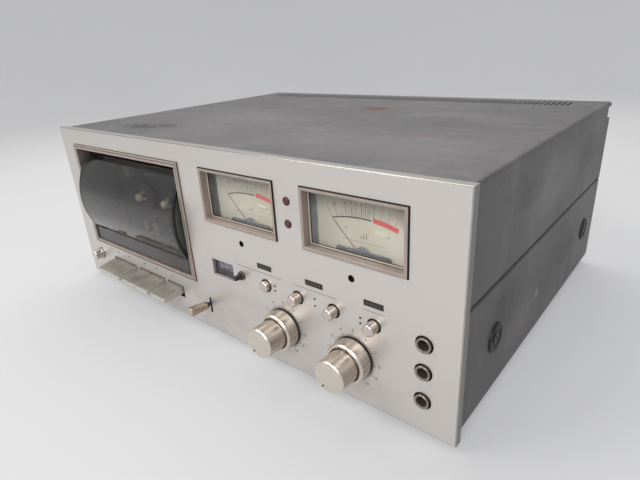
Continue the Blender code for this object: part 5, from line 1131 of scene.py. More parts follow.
INK_GREY = ink("grey ink", srgb(60, 56, 52))
INK_DARK = ink("dark ink", srgb(34, 32, 30))
INK_RED = ink("red ink", srgb(178, 70, 64))
INK_GREEN = ink("pale green ink", srgb(172, 184, 158))
print("inks made")

# %% [markdown]
# ## Meters
# A meter is a window in a deep taupe frame. Behind a clear pane there is a dark box with a
# cream card, a thin needle and a lower cover that hides the coil. The pane must be really
# clear, because its glints sell the depth, but a clear pane also blocks lamps. Light Path lets
# light through for shadows only, so the card stays evenly lit.

# %% Glass and the dial's finishes
PANE_IOR = 1.45
CARD_COLOUR, CARD_SPECK = srgb(182, 177, 162), srgb(150, 143, 122)


def clear_finish(name, colour, roughness=0.02, marked=0.0):
    """Clear plastic that lets lamplight through to what is behind it."""
    made, tree, inputs, where = start_finish(name, colour, roughness, Transmission_Weight=1.0, IOR=PANE_IOR)
    smear = ranged(tree, noise(tree, stretched(tree, where, (0.5, 1, 1)), 60.0, 4.0, 0.6), 0.45, 0.75)
    feed(tree, inputs, Roughness=ranged(tree, smear, 0.0, 1.0, roughness, roughness + 0.06 + marked))
    shader = tree.nodes["Principled BSDF"]
    open_way = add(tree, "ShaderNodeBsdfTransparent", {"Color": (*colour, 1.0)})
    lamp_light = add(tree, "ShaderNodeLightPath").outputs["Is Shadow Ray"]
    mixed = add(tree, "ShaderNodeMixShader", {0: lamp_light, 1: shader.outputs[0], 2: open_way.outputs[0]})
    tree.links.new(mixed.outputs[0], tree.nodes["Material Output"].inputs["Surface"])
    return made


def card_finish():
    """A printed card that has yellowed in clouds and specks."""
    made, tree, inputs, where = start_finish("dial card", CARD_COLOUR, 0.6)
    age = use(tree, AGE, {"Vector": where, "Cloud": 45.0, "Smudge": 120.0})
    tone = blend_colour(tree, age["Clouds"], srgb(174, 169, 153), srgb(188, 183, 169))
    feed(tree, inputs, Base_Color=layered(tree, tone, (age["Specks"], 0.3, CARD_SPECK)))
    return made


LENS_CLEAR = clear_finish("meter pane", (0.955, 0.945, 0.935))
CARD = card_finish()
# The pale strip at the pane's edge is a painted highlight of its glint
PANE_EDGE_HIGHLIGHT = moulded_finish("pane edge highlight", srgb(196, 184, 166), 0.3, wear=0.1)
SLATE = moulded_finish("slate plastic", srgb(134, 139, 143), 0.30, wear=0.3)
DARK_SLATE = moulded_finish("dark slate plastic", srgb(96, 98, 103), 0.26, wear=0.2)
print("glass and card made")

# %% The bezel and the pane
BEZEL_FLANGE, BEZEL_LAP = 2.4, 1.2
# Clear air kept between the frame's own parts
HAIR = 0.05
# Strips round the pane: the dark ones are painted shade and the pale one a painted highlight.
# Where each strip starts from the frame, its width, its height and its slot
PANE_SHADE_AND_HIGHLIGHT = ((0.0, 0.45, 0.9, 1), (0.47, 0.65, 1.2, 2), (1.14, 0.3, 0.5, 1))


def strip(shape, across, up, start, width, low, high, slot):
    """A flat strip round the inside of a rectangle, between two heights."""
    square = [(start, low), (start, high), (start + width, high), (start + width, low)]
    rim(shape, across, up, square, [slot] * 4)


def meter_frame(side):
    """The taupe frame with dark outer sides, and a dark strip round it, wider at the top and right, that is
    painted shadow on the panel.
    """
    across, out, up = ends("meter_bezel_" + side)
    flange, face, back = BEZEL_FLANGE, out[1], out[0] + HAIR
    lap = BEZEL_LAP + HAIR
    shape = bmesh.new()
    profile = [(0, 0.02), (0, face - 0.35), (0.3, face), (flange - 0.35, face), (flange, face - 0.3),
               (flange, back), (lap, back), (lap, 0.02)]
    rim(shape, across, up, profile, [1, 1, 0, 0, 0, 0, 0, 0])
    # A dark strip round the frame, wider at the top and right, is painted shadow where the frame stands off
    # the panel
    strip(shape, widened(across, 0.1, 0.5), widened(up, 0.1, 0.4), 0, 0.7, LIFT, 0.12, 1)
    pane_out = ends("meter_lens_" + side)[1][1]
    inside = widened(across, -flange - HAIR), widened(up, -flange - HAIR)
    for start, width, tall, slot in PANE_SHADE_AND_HIGHLIGHT:
        strip(shape, *inside, start, width, pane_out + HAIR, pane_out + tall, slot)
    frame_piece = finish_piece("meter_frame_" + side, shape, [TAUPE, SHADOW, PANE_EDGE_HIGHLIGHT], 25)
    settle(frame_piece, "deck", "taupe", "meter_bezel_" + side)
    across, out, up = ends("meter_lens_" + side)
    shape = bmesh.new()
    plate(shape, block(across, up), out, 0.15)
    settle(finish_piece("meter_pane_" + side, shape, LENS_CLEAR, 8), "deck", "lens", "meter_lens_" + side)


print("strips of edging round a pane", len(PANE_SHADE_AND_HIGHLIGHT))

# %% The box and its card
MOVEMENT_WALL = 1.2
CARD_OUT, CARD_THICK = -13.7, 0.35


def meter_box(side, material):
    """The open box and the card on its floor."""
    across, out, up = ends("meter_body_" + side)
    wall, seat = MOVEMENT_WALL, CARD_OUT - CARD_THICK - HAIR
    shape = bmesh.new()
    profile = [(0, out[0]), (0, out[1]), (wall, out[1]), (wall, seat), (wall + 1, seat), (wall + 1, out[0])]
    rim(shape, across, up, profile)
    settle(finish_piece("meter_box_" + side, shape, material), "deck", "black_plastic", "meter_body_" + side)
    shape = bmesh.new()
    lap = 0.2 - wall
    plate(shape, block(widened(across, lap), widened(up, lap)), (CARD_OUT - CARD_THICK, CARD_OUT))
    settle(finish_piece("meter_card_" + side, shape, CARD), "deck", "cream")


# The left box takes the darker slate as painted shade; the two boxes are the same part
for side, material in (("left", DARK_SLATE), ("right", SLATE)):
    meter_frame(side)
    meter_box(side, material)
print("meters framed")

# %% Where the marks stand
# The arc's centre on the right-hand card; the left-hand card is the same, this much to the left
ARC_CENTRE = (139.5, 37.5)
ARC_RADIUS = 83.6
CARD_STEP = 97.0
# Where each mark stands along the arc, in degrees from the right, with the number over it
SCALE = ((102.9, "20"), (98.0, "10"), (95.0, "7"), (92.9, "5"), (90.4, "3"), (88.5, "2"), (86.9, "1"),
         (84.9, "0"), (81.7, "1"), (78.4, "2"), (75.0, "3"))
SCALE_MINOR = (101.2, 99.6, 96.5, 94.0, 91.6, 89.4, 87.7)
RED_FROM, RED_TO, BLACK_FROM = 84.9, 73.3, 105.4
NUMBER_HEIGHT, SMALL_NUMBER = 2.0, 1.6
TICK_WIDTH, MINOR_WIDTH = 0.3, 0.22
# Three small bars and the rule under them, in the middle of the card
BAR_HEIGHTS = (1.6, 2.6, 3.8)
BARS_UP, RULE_UP = 108.4, (106.15, 106.3)


def at_arc(centre, radius, angle):
    """A point on the card at a radius and an angle."""
    turn = math.radians(angle)
    return (centre[0] + radius * math.cos(turn), centre[1] + radius * math.sin(turn))


print("numbered marks on a card", len(SCALE))

# %% The scale on each card
def card_print(side, shift):
    """The black line, the red band, the ticks and the numbers of one card."""
    centre = (ARC_CENTRE[0] - shift, ARC_CENTRE[1])
    middle_x = centre[0]
    shape = bmesh.new()

    def printed(outline, slot):
        """One flat mark on the card."""
        plate(shape, outline, (CARD_OUT + LIFT, CARD_OUT + LIFT + INK), slot=slot)

    def curved(below, above, start, end, slot):
        """A band along the arc, between two heights off it."""
        printed(band(centre, ARC_RADIUS + below, ARC_RADIUS + above, start, end), slot)

    def tick(start, end, angle, width, slot, lean=0.0):
        """A mark that stands on the arc, or leans over it by some degrees."""
        foot, head = (ARC_RADIUS + start, angle), (ARC_RADIUS + end, angle + lean)
        printed(bar(at_arc(centre, *foot), at_arc(centre, *head), width), slot)

    curved(-0.4, 0.45, RED_FROM + 0.9, BLACK_FROM, 0)
    curved(-0.9, 2.1, RED_TO, RED_FROM, 1)
    for angle, text in SCALE:
        start, slot = (2.4, 1) if angle < RED_FROM else (0.8, 2)
        tick(start, 6.2, angle, TICK_WIDTH, slot)
        number(shape, text, NUMBER_HEIGHT, at_arc(centre, ARC_RADIUS + 8.2, angle), CARD_OUT + LIFT, slot)
    for angle in SCALE_MINOR:
        tick(0.8, 3.6, angle, MINOR_WIDTH, 2)
    tick(0.0, 7.2, BLACK_FROM, TICK_WIDTH, 2, lean=1.2)
    for index, tall in enumerate(BAR_HEIGHTS):
        x = middle_x - 1.6 + 1.9 * index
        printed(block((x, x + 0.45), (BARS_UP, BARS_UP + tall)), 2)
    printed(block((middle_x - 16.0, middle_x + 16.5), RULE_UP), 2)
    curved(-6.6, -4.9, 76.0, 84.0, 3)
    for text, x, up in (("0", -12.0, 113.6), ("100", 17.0, 113.0)):
        number(shape, text, SMALL_NUMBER, (middle_x + x, up), CARD_OUT + LIFT, 2)
    piece = finish_piece("meter_scale_" + side, shape, [INK_DARK, INK_RED, INK_GREY, INK_GREEN])
    settle(piece, "deck", "cream")


for side, shift in (("left", CARD_STEP), ("right", 0.0)):
    card_print(side, shift)
print("scales printed")

# %% The covers and needles
COVER_FRONT, COVER_THICK = -10.0, 1.0
NEEDLE_TILT, NEEDLE_LONG, NEEDLE_HUB = -44.0, 31.7, 2.6
PIVOT_UP = 95.5
# The cover's steps: how far to each side, and the height there; its round bump stands on this centre
STEP_FAR, STEP_NEAR, STEP_UP = 19.5, 18.0, 102.4
BUMP_HALF, BUMP_UP = 7.4, 98.6


def coil_cover(side):
    """The moulded cover along the card's lower edge: a long step with a round bump in its middle."""
    across, _, up = ends("meter_body_" + side)
    centre = sum(across) / 2 + 1.2
    low = up[0] + MOVEMENT_WALL
    right = [(STEP_FAR, low), (STEP_FAR, 101.2), (STEP_NEAR, STEP_UP), (BUMP_HALF, STEP_UP)]
    left = [(-BUMP_HALF, STEP_UP), (-STEP_NEAR, STEP_UP), (-STEP_FAR, 101.4), (-STEP_FAR, low)]
    outline = [(centre + x, z) for x, z in right + circle(6.2, 12, (0, BUMP_UP), 38, 104) + left]
    shape = bmesh.new()
    plate(shape, outline, (COVER_FRONT - COVER_THICK, COVER_FRONT), 0.3)
    rib = circle(4.6, 12, (centre, BUMP_UP - 1.4), 30, 120)
    plate(shape, rib + [(centre - 4.0, 97.4), (centre + 4.0, 97.4)], (COVER_FRONT, COVER_FRONT + 0.5), 0.2)
    settle(finish_piece("meter_cover_" + side, shape, DARK_SLATE), "deck", "black_plastic")


NEEDLE_PAINT = ink("needle paint", srgb(112, 100, 86))


def meter_needle(side):
    """A tapering needle with its hub and counterweight, lying where the solid lies."""
    out = ends("needle_" + side)[1]
    pivot = Vector((sum(ends("meter_body_" + side)[0]) / 2, PIVOT_UP, 0))
    spin = Matrix.Translation(pivot * MM) @ Matrix.Rotation(math.radians(-NEEDLE_TILT), 4, "Z")
    pointer = [(-0.30, 0), (0.30, 0), (0.12, NEEDLE_LONG), (-0.12, NEEDLE_LONG)]
    tail = [(-0.9, 0), (0.9, 0), (1.2, -NEEDLE_HUB), (-1.2, -NEEDLE_HUB)]
    made = bmesh.new()
    for outline in (pointer, tail, circle(NEEDLE_HUB * 0.8, 32)):
        slab(made, outline, out[0], out[1], WALL @ spin, 0.08)
    needle = finish_piece("needle_{}_pointer".format(side), made, NEEDLE_PAINT)
    settle(needle, side + "_needle", "black_plastic", "needle_" + side)


for side in ("left", "right"):
    coil_cover(side)
    meter_needle(side)
print("needles set")

# %% [markdown]
# ## The tape counter
# Three number wheels sit on one axle behind a small window. Each wheel is turned with a
# shallow step at both edges and carries the digits 0 to 9. Flat digits would cut into a round
# wheel, so each digit is sliced into thin strips and wrapped round the rim by its height.
# The wheels show their digits near the top of the window, as the real ones do.

# %% Wheels with wrapped digits
WHEEL_SLICE, WHEEL_CUTS = 0.35, 7
WHEEL_BORE, WHEEL_STEP, STEP_WIDE, STEP_END = 1.2, 0.25, 0.9, 0.7
DIGIT_HEIGHT, DIGIT_LIFT = 4.4, 0.02
DIGIT_TURN = 360 / 10
WHEEL_GREY = moulded_finish("counter wheel", srgb(150, 145, 156), 0.40)
DIGIT_INK = ink("counter digits", srgb(40, 38, 46))
# The digit each wheel shows, and how far round it has rolled, in degrees
SHOWN = (("hundreds", 0, 14.0), ("tens", 3, 12.0), ("units", 7, 16.0))


def wrapped_digit(shape, text, radius, axle, turn):
    """A digit wrapped round a wheel, so many degrees round from the front, upwards."""
    made = figures(text, DIGIT_HEIGHT, 1)
    for step in range(-WHEEL_CUTS, WHEEL_CUTS + 1):
        parts = made.verts[:] + made.edges[:] + made.faces[:]
        bmesh.ops.bisect_plane(made, geom=parts, plane_co=(0, step * WHEEL_SLICE * MM, 0), plane_no=(0, 1, 0))
    for vertex in made.verts:
        angle = vertex.co.y / (radius * MM) + math.radians(turn)
        reach = (radius + DIGIT_LIFT) * MM + vertex.co.z
        vertex.co = axle + Vector((vertex.co.x, -reach * math.cos(angle), reach * math.sin(angle)))
    pour(shape, made)


def counter_wheel(name, digit, rolled):
    """One wheel: a stepped rim with ten digits."""
    low, high = corners("counter_" + name)
    axle, radius, wide = (low + high) / 2, (high.y - low.y) / 2 / MM, (high.x - low.x) / MM
    shape = bmesh.new()
    drum_radius = radius - WHEEL_STEP
    profile = [(WHEEL_BORE, 0), (radius, 0), (radius, STEP_END), (drum_radius, STEP_WIDE),
               (drum_radius, wide - STEP_WIDE), (radius, wide - STEP_END), (radius, wide), (WHEEL_BORE, wide)]
    matrix = facing((1, 0, 0), (low.x, axle.y, axle.z))
    spun(shape, profile, matrix, 64, closed=True)
    for value in range(10):
        wrapped_digit(shape, str(value), drum_radius, axle, (digit - value) * DIGIT_TURN + rolled)
    wheel = finish_piece("counter_wheel_" + name, shape, [WHEEL_GREY, DIGIT_INK])
    settle(wheel, name, "key_grey", "counter_" + name)


for name, digit, rolled in SHOWN:
    counter_wheel(name, digit, rolled)
print("wheels", [name for name, digit, rolled in SHOWN])

# %% The counter's window
WINDOW_ACROSS, WINDOW_UP = (6.4, 30.3), (54.4, 67.8)
WINDOW_RIM = [(0, 0.02), (0, 0.14), (0.1, 0.14), (0.1, -2.9), (0, -2.9)]
shape = bmesh.new()
rim(shape, WINDOW_ACROSS, WINDOW_UP, WINDOW_RIM)
settle(finish_piece("counter_rim", shape, TAUPE), "deck", "taupe")
pane = bmesh.new()
plate(pane, block(widened(WINDOW_ACROSS, -0.15), widened(WINDOW_UP, -0.15)), (-2.6, -1.8), 0.1)
COUNTER_CLEAR = clear_finish("counter pane", (0.86, 0.85, 0.90), 0.05)
settle(finish_piece("counter_pane", pane, COUNTER_CLEAR, 8), "deck", "lens")
print("counter window", WINDOW_ACROSS, WINDOW_UP)

# %% [markdown]
# ## Scales round the knobs
# Each double knob has eleven ticks on an arc, plain numbers from 0 to 10, and a fine comb of
# marks all round the ring. Ticks on a circle are the very thing for Geometry Nodes: one small
# bar is placed on a row of points, and each point works out its own angle from its index. The
# result is realised into one mesh, because instances are lost when a scene is exported.

# %% Starting a Geometry Nodes tree, and running it
def socket_name(tree, label):
    """The identifier of a tree's input, which is what a modifier stores its value under."""
    return next(item.identifier for item in tree.interface.items_tree
                if item.item_type == "SOCKET" and item.in_out == "INPUT" and item.name == label)


def geometry_tree(name, inputs):
    """A new Geometry Nodes tree with these inputs, given as (name, kind), and one mesh coming out."""
    rows = [(label, kind, None) for label, kind in inputs]
    return start_group(name, rows, [("Geometry", "Geometry")], "GeometryNodeTree")


def realised(tree, copies, material):
    """Instances turned into a plain mesh that wears this material."""
    real = add(tree, "GeometryNodeRealizeInstances", {0: copies}).outputs[0]
    return add(tree, "GeometryNodeSetMaterial", {"Geometry": real, "Material": material}).outputs[0]


def grown(tree, values, source=None):
    """Run a Geometry Nodes tree with these inputs and give back a plain mesh."""
    data = source or bpy.data.meshes.new("seed")
    holder = bpy.data.objects.new("seed", data)
    bpy.context.scene.collection.objects.link(holder)
    modifier = holder.modifiers.new("made", "NODES")
    modifier.node_group = tree
    for label, value in values.items():
        modifier[socket_name(tree, label)] = value
    graph = bpy.context.evaluated_depsgraph_get()
    result = bpy.data.meshes.new_from_object(holder.evaluated_get(graph))
    holder.modifiers.remove(modifier)
    bpy.data.objects.remove(holder)
    return result


print("tree helpers: geometry_tree, realised, grown")

# %% A tree that lays bars round a circle
def ring_tree():
    """Bars on a circle in the XY plane, spread evenly over an angle that starts at +Y and turns right."""
    tree, given, out = geometry_tree("bars round a circle", (
        ("Count", "Int"), ("Radius", "Float"), ("Length", "Float"), ("Width", "Float"),
        ("Thickness", "Float"), ("Start", "Float"), ("Sweep", "Float"), ("Material", "Material")))
    points = add(tree, "GeometryNodePoints", {"Count": given["Count"]}).outputs[0]
    index = add(tree, "GeometryNodeInputIndex").outputs[0]
    share = maths(tree, "DIVIDE", index, maths(tree, "SUBTRACT", given["Count"], 1.0))
    angle = maths(tree, "ADD", given["Start"], times(tree, share, given["Sweep"]))
    across = times(tree, maths(tree, "SINE", angle), given["Radius"])
    up = times(tree, maths(tree, "COSINE", angle), given["Radius"])
    place = add(tree, "ShaderNodeCombineXYZ", {0: across, 1: up}).outputs[0]
    placed = add(tree, "GeometryNodeSetPosition", {"Geometry": points, "Position": place}).outputs[0]
    sizes = {0: given["Width"], 1: given["Length"], 2: given["Thickness"]}
    size = add(tree, "ShaderNodeCombineXYZ", sizes).outputs[0]
    piece = add(tree, "GeometryNodeMeshCube", {"Size": size}).outputs[0]
    spin = add(tree, "ShaderNodeCombineXYZ", {2: times(tree, angle, -1.0)}).outputs[0]
    copies = add(tree, "GeometryNodeInstanceOnPoints",
                 {"Points": placed, "Instance": piece, "Rotation": spin}).outputs[0]
    tree.links.new(realised(tree, copies, given["Material"]), out.inputs[0])
    return tree


RING_TREE = ring_tree()
print("tree", RING_TREE.name, "with", len(RING_TREE.nodes), "nodes")

# %% The scales
TICK_START, TICK_SWEEP, TICK_COUNT = math.radians(-150), math.radians(300), 11
TICK_INNER, TICK_OUTER, TICK_WIDE, NUMBER_RING = 16.1, 17.2, 0.35, 19.2
SCALE_NUMBER = 2.1
# A fine comb of marks, its ends measured from the ring's edge
COMB_COUNT, COMB_INNER, COMB_OUTER, COMB_WIDE = 60, 0.5, 1.9, 0.5
COMB_SWEEP = FULL_TURN * (1 - 1 / COMB_COUNT)


def ring_of_marks(shape, centre, count, inner, outer, width, start, sweep):
    """Print marks round a knob's axis, their ends and width in millimetres."""
    values = {"Count": count, "Radius": (inner + outer) / 2 * MM, "Length": (outer - inner) * MM,
              "Width": width * MM, "Thickness": INK * MM, "Start": start, "Sweep": sweep,
              "Material": INK_DARK}
    marks = grown(RING_TREE, values)
    marks.transform(WALL @ Matrix.Translation((centre.x, centre.z - PANEL_LOW.z, (LIFT + INK / 2) * MM)))
    shape.from_mesh(marks)
    bpy.data.meshes.remove(marks)


def knob_scale(side):
    """The comb, the ticks and the numbers printed on the panel round one double knob."""
    centre, edge = front_round("knob_ring_" + side)[:2]
    shape = bmesh.new()
    ring_of_marks(shape, centre, COMB_COUNT, edge + COMB_INNER, edge + COMB_OUTER, COMB_WIDE, 0.0, COMB_SWEEP)
    ring_of_marks(shape, centre, TICK_COUNT, TICK_INNER, TICK_OUTER, TICK_WIDE, TICK_START, TICK_SWEEP)
    for value in range(TICK_COUNT):
        angle = math.radians(90) - TICK_START - TICK_SWEEP * value / (TICK_COUNT - 1)
        place = (centre.x / MM + NUMBER_RING * math.cos(angle),
                 (centre.z - PANEL_LOW.z) / MM + NUMBER_RING * math.sin(angle))
        number(shape, str(value), SCALE_NUMBER, place, LIFT)
    settle(finish_piece("knob_scale_" + side, shape, INK_DARK), "deck", "panel_silver")


for side in ("left", "right"):
    knob_scale(side)
print("scales round the knobs", TICK_COUNT, "ticks each")

# %% [markdown]
# ## Lines, plates and other print
# The rest of the panel's print is plain: thin grey rules that tie groups of controls together,
# three dark plates over the buttons, and small square marks beside them. It stays generic, as
# a reusable part has no words on it. All of it goes into one mesh, as one pass of ink would.

# %% Print on the panel
RULES = ((34.0, 81.0, 70.3), (91.0, 127.5, 70.3), (147.5, 163.0, 70.3))
DARK_PLATES = ((57.9, 71.9), (102.6, 117.3), (148.3, 162.2))
PLATE_UP, PLATE_OUT = (73.3, 77.3), 0.10
# Each plate carries this many pale blanks, so much of them to either side, between these heights on it
BLANKS, BLANK_HALF, BLANK_LOW, BLANK_HIGH = 4, 0.9, 1.2, 2.8
SQUARES = ((73.9, 63.3), (73.7, 59.6), (109.9, 64.8), (109.9, 59.6), (145.6, 63.3), (145.6, 59.6))
RULE_HALF, SQUARE_HALF = 0.14, 0.75


def square(x, up, half):
    """The outline of a square round its middle."""
    return block((x - half, x + half), (up - half, up + half))


shape = bmesh.new()
for left, right, up in RULES:
    plate(shape, block((left, right), (up - RULE_HALF, up + RULE_HALF)), FLAT_INK, slot=1)
for left, right in DARK_PLATES:
    plate(shape, block((left, right), PLATE_UP), (LIFT, PLATE_OUT), 0.03)
    for step in range(1, BLANKS + 1):
        x = left + (right - left) / (BLANKS + 1) * step
        blank = block((x - BLANK_HALF, x + BLANK_HALF), (PLATE_UP[0] + BLANK_LOW, PLATE_UP[0] + BLANK_HIGH))
        plate(shape, blank, (PLATE_OUT + LIFT, PLATE_OUT + LIFT + INK), slot=1)
for x, up in SQUARES:
    plate(shape, square(x, up, SQUARE_HALF), FLAT_INK)
settle(finish_piece("panel_print", shape, [INK_DARK, INK_GREY]), "deck", "panel_silver")
print("print:", len(RULES), "rules,", len(DARK_PLATES), "plates and", len(SQUARES), "squares")

# %% The two adjusters, with black cups as painted shade in their holes
ADJUSTERS = (("left", 43.7, 88.1), ("right", 139.8, 88.0))
HOLE_SHADE_CUP = [(0, -3.6), (2.35, -3.6), (2.35, -0.1), (2.0, -0.1), (2.0, -3.0), (1.1, -3.0), (1.1, -2.4), (0, -2.4)]
for name, x, up in ADJUSTERS:
    piece = lathe("adjuster_" + name, HOLE_SHADE_CUP, on_panel(x * MM, up * MM), BLACK, SMALL_SIDES)
    settle(piece, "deck", "black_plastic")
print("adjusters", len(ADJUSTERS))

# %% [markdown]
# ## Piano keys and the lever
# Each key is a hollow moulded cap that slopes down to a short nose. Its side outline says it
# all, so it is drawn once in depth and height and given its width. Real caps have soft edges
# that catch the light, hence the bevel. The keys are lacquered satin grey; faces that turn to
# the front and to the sides are painted paler, which is painted light, and the nose wears pale
# by how near it is to the front.

# %% Outlines drawn from the side
SIDE_TURN = Matrix(((0, 0, 1, 0), (1, 0, 0, 0), (0, 1, 0, 0), (0, 0, 0, 1)))
SIDEWAYS = Matrix.Translation(on_panel(0, 0)) @ SIDE_TURN


def side_plate(shape, outline, across, edge=0.0, slot=0, steps=2):
    """Add a piece drawn from the side, as (depth behind the face, height), between two ends across."""
    slab(shape, outline, across[0], across[1], SIDEWAYS, edge, steps, slot)


# The nose wears pale between these depths in front of the panel
NOSE_FROM, NOSE_TO = 13 * MM, 19 * MM


def key_finish():
    """Satin lacquer: warm grey on the sloping top, worn pale towards the nose."""
    made, tree, inputs, where = start_finish("key lacquer", srgb(146, 141, 132), 0.34, 0.35)
    age = use(tree, AGE, {"Vector": where, "Cloud": 90.0, "Smudge": 130.0})
    lines = use(tree, BRUSH, {"Vector": where, "Along": 40.0, "Across": 3200.0})["Lines"]
    tone = blend_colour(tree, age["Clouds"], srgb(139, 134, 125), srgb(156, 151, 142))
    normal = split(tree, add(tree, "ShaderNodeNewGeometry").outputs["Normal"])
    # Faces turned to the front and to the sides are painted paler below: painted light, by the way each
    # surface faces
    front = ranged(tree, normal["Y"], -0.4, -0.8)
    side = ranged(tree, maths(tree, "ABSOLUTE", normal["X"]), 0.5, 0.9)
    nose = ranged(tree, split(tree, where)["Y"], FACE - NOSE_FROM, FACE - NOSE_TO)
    worn = ranged(tree, age["Smudges"], 0.0, 1.0, 0.25, 0.7)
    edge = use(tree, EDGE, {"Vector": where, "Width": 0.5 * MM})
    tone = layered(tree, tone, (front, 1.0, srgb(200, 195, 186)), (side, 0.5, srgb(196, 191, 181)),
                   (nose, worn, srgb(186, 180, 168)), (edge["Mask"], 1.0, srgb(206, 201, 190)))
    feed(tree, inputs, Base_Color=tone, Roughness=ranged(tree, age["Smudges"], 0.0, 1.0, 0.30, 0.42),
         Normal=bump(tree, lines, 0.008 * MM, 0.5, edge["Normal"]))
    return made


KEY_LACQUER = key_finish()
print("key finish", KEY_LACQUER.name)

# %% The keys
KEY_REACH, KEY_TOP, KEY_NOSE, KEY_FACE = 19.0, 27.5, 24.0, 4.0
KEY_SKIN, KEY_TAIL, KEY_UNDER = 1.5, 31.2, 20.4
KEY_AXLE, KEY_EYE = (27.0, 17.0), 4.2


def key_cap(name):
    """A sloping cap over its eye, hollow from below, as the moulding is."""
    low, high = ends("key_" + name)[0]
    front = -KEY_REACH
    top = [(front, KEY_NOSE - KEY_FACE), (front, KEY_NOSE), (0, KEY_TOP), (KEY_TAIL, KEY_TOP)]
    eye = circle(KEY_EYE, 10, KEY_AXLE, 0, -180) + [(KEY_AXLE[0] - KEY_EYE, KEY_UNDER), (0, KEY_UNDER)]
    hollow = [(-1.0, KEY_UNDER), (-1.0, KEY_TOP - KEY_SKIN), (front + KEY_SKIN, KEY_NOSE - KEY_SKIN),
              (front + KEY_SKIN, KEY_NOSE - KEY_FACE)]
    shape = bmesh.new()
    side_plate(shape, top + eye + hollow, (low + KEY_SKIN, high - KEY_SKIN))
    cheek = fillet(top, [0.3, 0.8, 4.0, 0.3], 4) + eye
    for across in ((low, low + KEY_SKIN + 0.02), (high - KEY_SKIN - 0.02, high)):
        side_plate(shape, cheek, across, 0.35)
    pad = [(front + 1.4, KEY_NOSE - 0.3), (-2.0, KEY_TOP - 0.67), (-2.0, KEY_TOP - 0.37),
           (front + 1.4, KEY_NOSE + 0.04)]
    side_plate(shape, pad, (low + 1.2, high - 1.2), 0.1)
    settle(finish_piece("key_cap_" + name, shape, KEY_LACQUER, 30), name, "key_grey", "key_" + name)


KEYS = ("play", "rewind", "fast_forward", "record")
for name in KEYS:
    key_cap(name)
print("keys", KEYS)

# %% The lever
LEVER_PIVOT, LEVER_TILT = (20.0, 22.5), 4.5
STEM_LOW, STEM_HIGH, STEM_HALF, COLLAR_HALF = 21.1, 23.9, 0.9, 1.9
LEVER_METAL = turned_finish("lever metal", srgb(208, 192, 174), (0, 0, 0), 0.22, 0.34)


def tilted(points):
    """Points of the lever's outline, turned up about its pivot as it rests."""
    turn, pivot = Matrix.Rotation(math.radians(-LEVER_TILT), 2), Vector(LEVER_PIVOT)
    return [tuple(pivot + turn @ (Vector(point) - pivot)) for point in points]


low, high = ends("lever")[0]
middle_x = (low + high) / 2
shape = bmesh.new()
stem = [(-6.0, STEM_HIGH), (-6.0, STEM_LOW), (16.4, STEM_LOW)]
stem += circle(4.0, 12, LEVER_PIVOT, -160, 320) + [(16.4, STEM_HIGH)]
side_plate(shape, tilted(stem), (middle_x - STEM_HALF, middle_x + STEM_HALF), 0.1, slot=1)
paddle = [(-20.9, 19.2), (-20.9, 25.8), (-5.0, 24.7), (-5.0, 20.3)]
side_plate(shape, tilted(fillet(paddle, [1.0, 1.0, 0.8, 0.8], 4, closed=True)), (low, high), 0.6, steps=3)
collar = [(-5.2, 19.9), (-5.2, 25.1), (-3.6, 24.6), (-3.6, 20.4)]
side_plate(shape, tilted(collar), (middle_x - COLLAR_HALF, middle_x + COLLAR_HALF), 0.3, slot=1)
paddle = finish_piece("timer_paddle", shape, [LEVER_METAL, BLACK], 30)
settle(paddle, "timer_lever", "champagne", "lever")
print("lever", round(high - low, 1), "mm wide")

# %% [markdown]
# ## Marks over the keys
# Small marks over the keys stand for what each one does: arrowheads, a dot and squares, the
# signs that any tape machine carries. They hold no words. Each is a thin plate of ink.

# %% Marks
MARK_UP, ARROW, DOT, MARK_HALF = 35.0, 1.15, 0.75, 0.8


def arrow(across, nose):
    """A small arrowhead; a nose below 0 points left."""
    return [(across - nose, MARK_UP - ARROW), (across - nose, MARK_UP + ARROW), (across + nose, MARK_UP)]


# Each mark is its outline and its ink: 0 dark, 1 red, 2 grey
MARKS = ((square(-147.2, MARK_UP, MARK_HALF), 2), (arrow(-127.5, ARROW), 0), (arrow(-101.1, -ARROW), 0),
         (arrow(-80.8, ARROW), 0), (circle(DOT, 24, (-55.3, MARK_UP)), 1))
shape = bmesh.new()
for outline, slot in MARKS:
    plate(shape, outline, FLAT_INK, slot=slot)
settle(finish_piece("key_marks", shape, [INK_DARK, INK_RED, INK_GREY]), "deck", "panel_silver")
print("marks", len(MARKS))

# %% [markdown]
# ## The cassette bay
# The bay is a deep taupe tray behind a thin flange. Its side walls reach back to ears that
# carry the visor's pivot pins, and its roof is short so that the visor can swing up. The walls
# are flat plates drawn from the side; the flange is a rim with mitred corners. Inside, the
# mechanism stays dark, as it does in real decks, so that the two pale hubs stand out.

# %% The tray round the well
FLANGE_WIDTH, FLANGE_LAP = 4.0, 2.5
TRAY_WALL = 1.5
ROOF_BACK, WALL_FRONT, TRAY_BACK, EAR_BACK = -8.0, 8.1, 34.0, 57.9
EAR_LOW, EAR_HIGH = 78.0, 98.0
PIVOT = (50.0, 88.0)
PIN = [(0, 0.01), (4.0, 0.01), (4.0, 1.0), (2.45, 1.0), (2.45, 4.6), (2.0, 5.0), (0, 5.0)]
BAY_WALL = moulded_finish("bay wall", srgb(108, 96, 93), 0.45, wear=0.15)
MECHANISM = moulded_finish("mechanism black", srgb(58, 57, 58), 0.42, wear=0.3)
across, out, up = ends("cassette_bezel")
face = out[1]
shape = bmesh.new()
profile = [(0, 0.02), (0, 0.35), (0, face - 0.5), (0.45, face), (1.2, face), (1.3, face - 0.3),
           (1.6, face - 0.3), (1.7, face), (FLANGE_WIDTH - 0.4, face), (FLANGE_WIDTH, face - 0.35),
           (FLANGE_WIDTH, ROOF_BACK), (FLANGE_LAP + HAIR, ROOF_BACK), (FLANGE_LAP + HAIR, 0.02)]
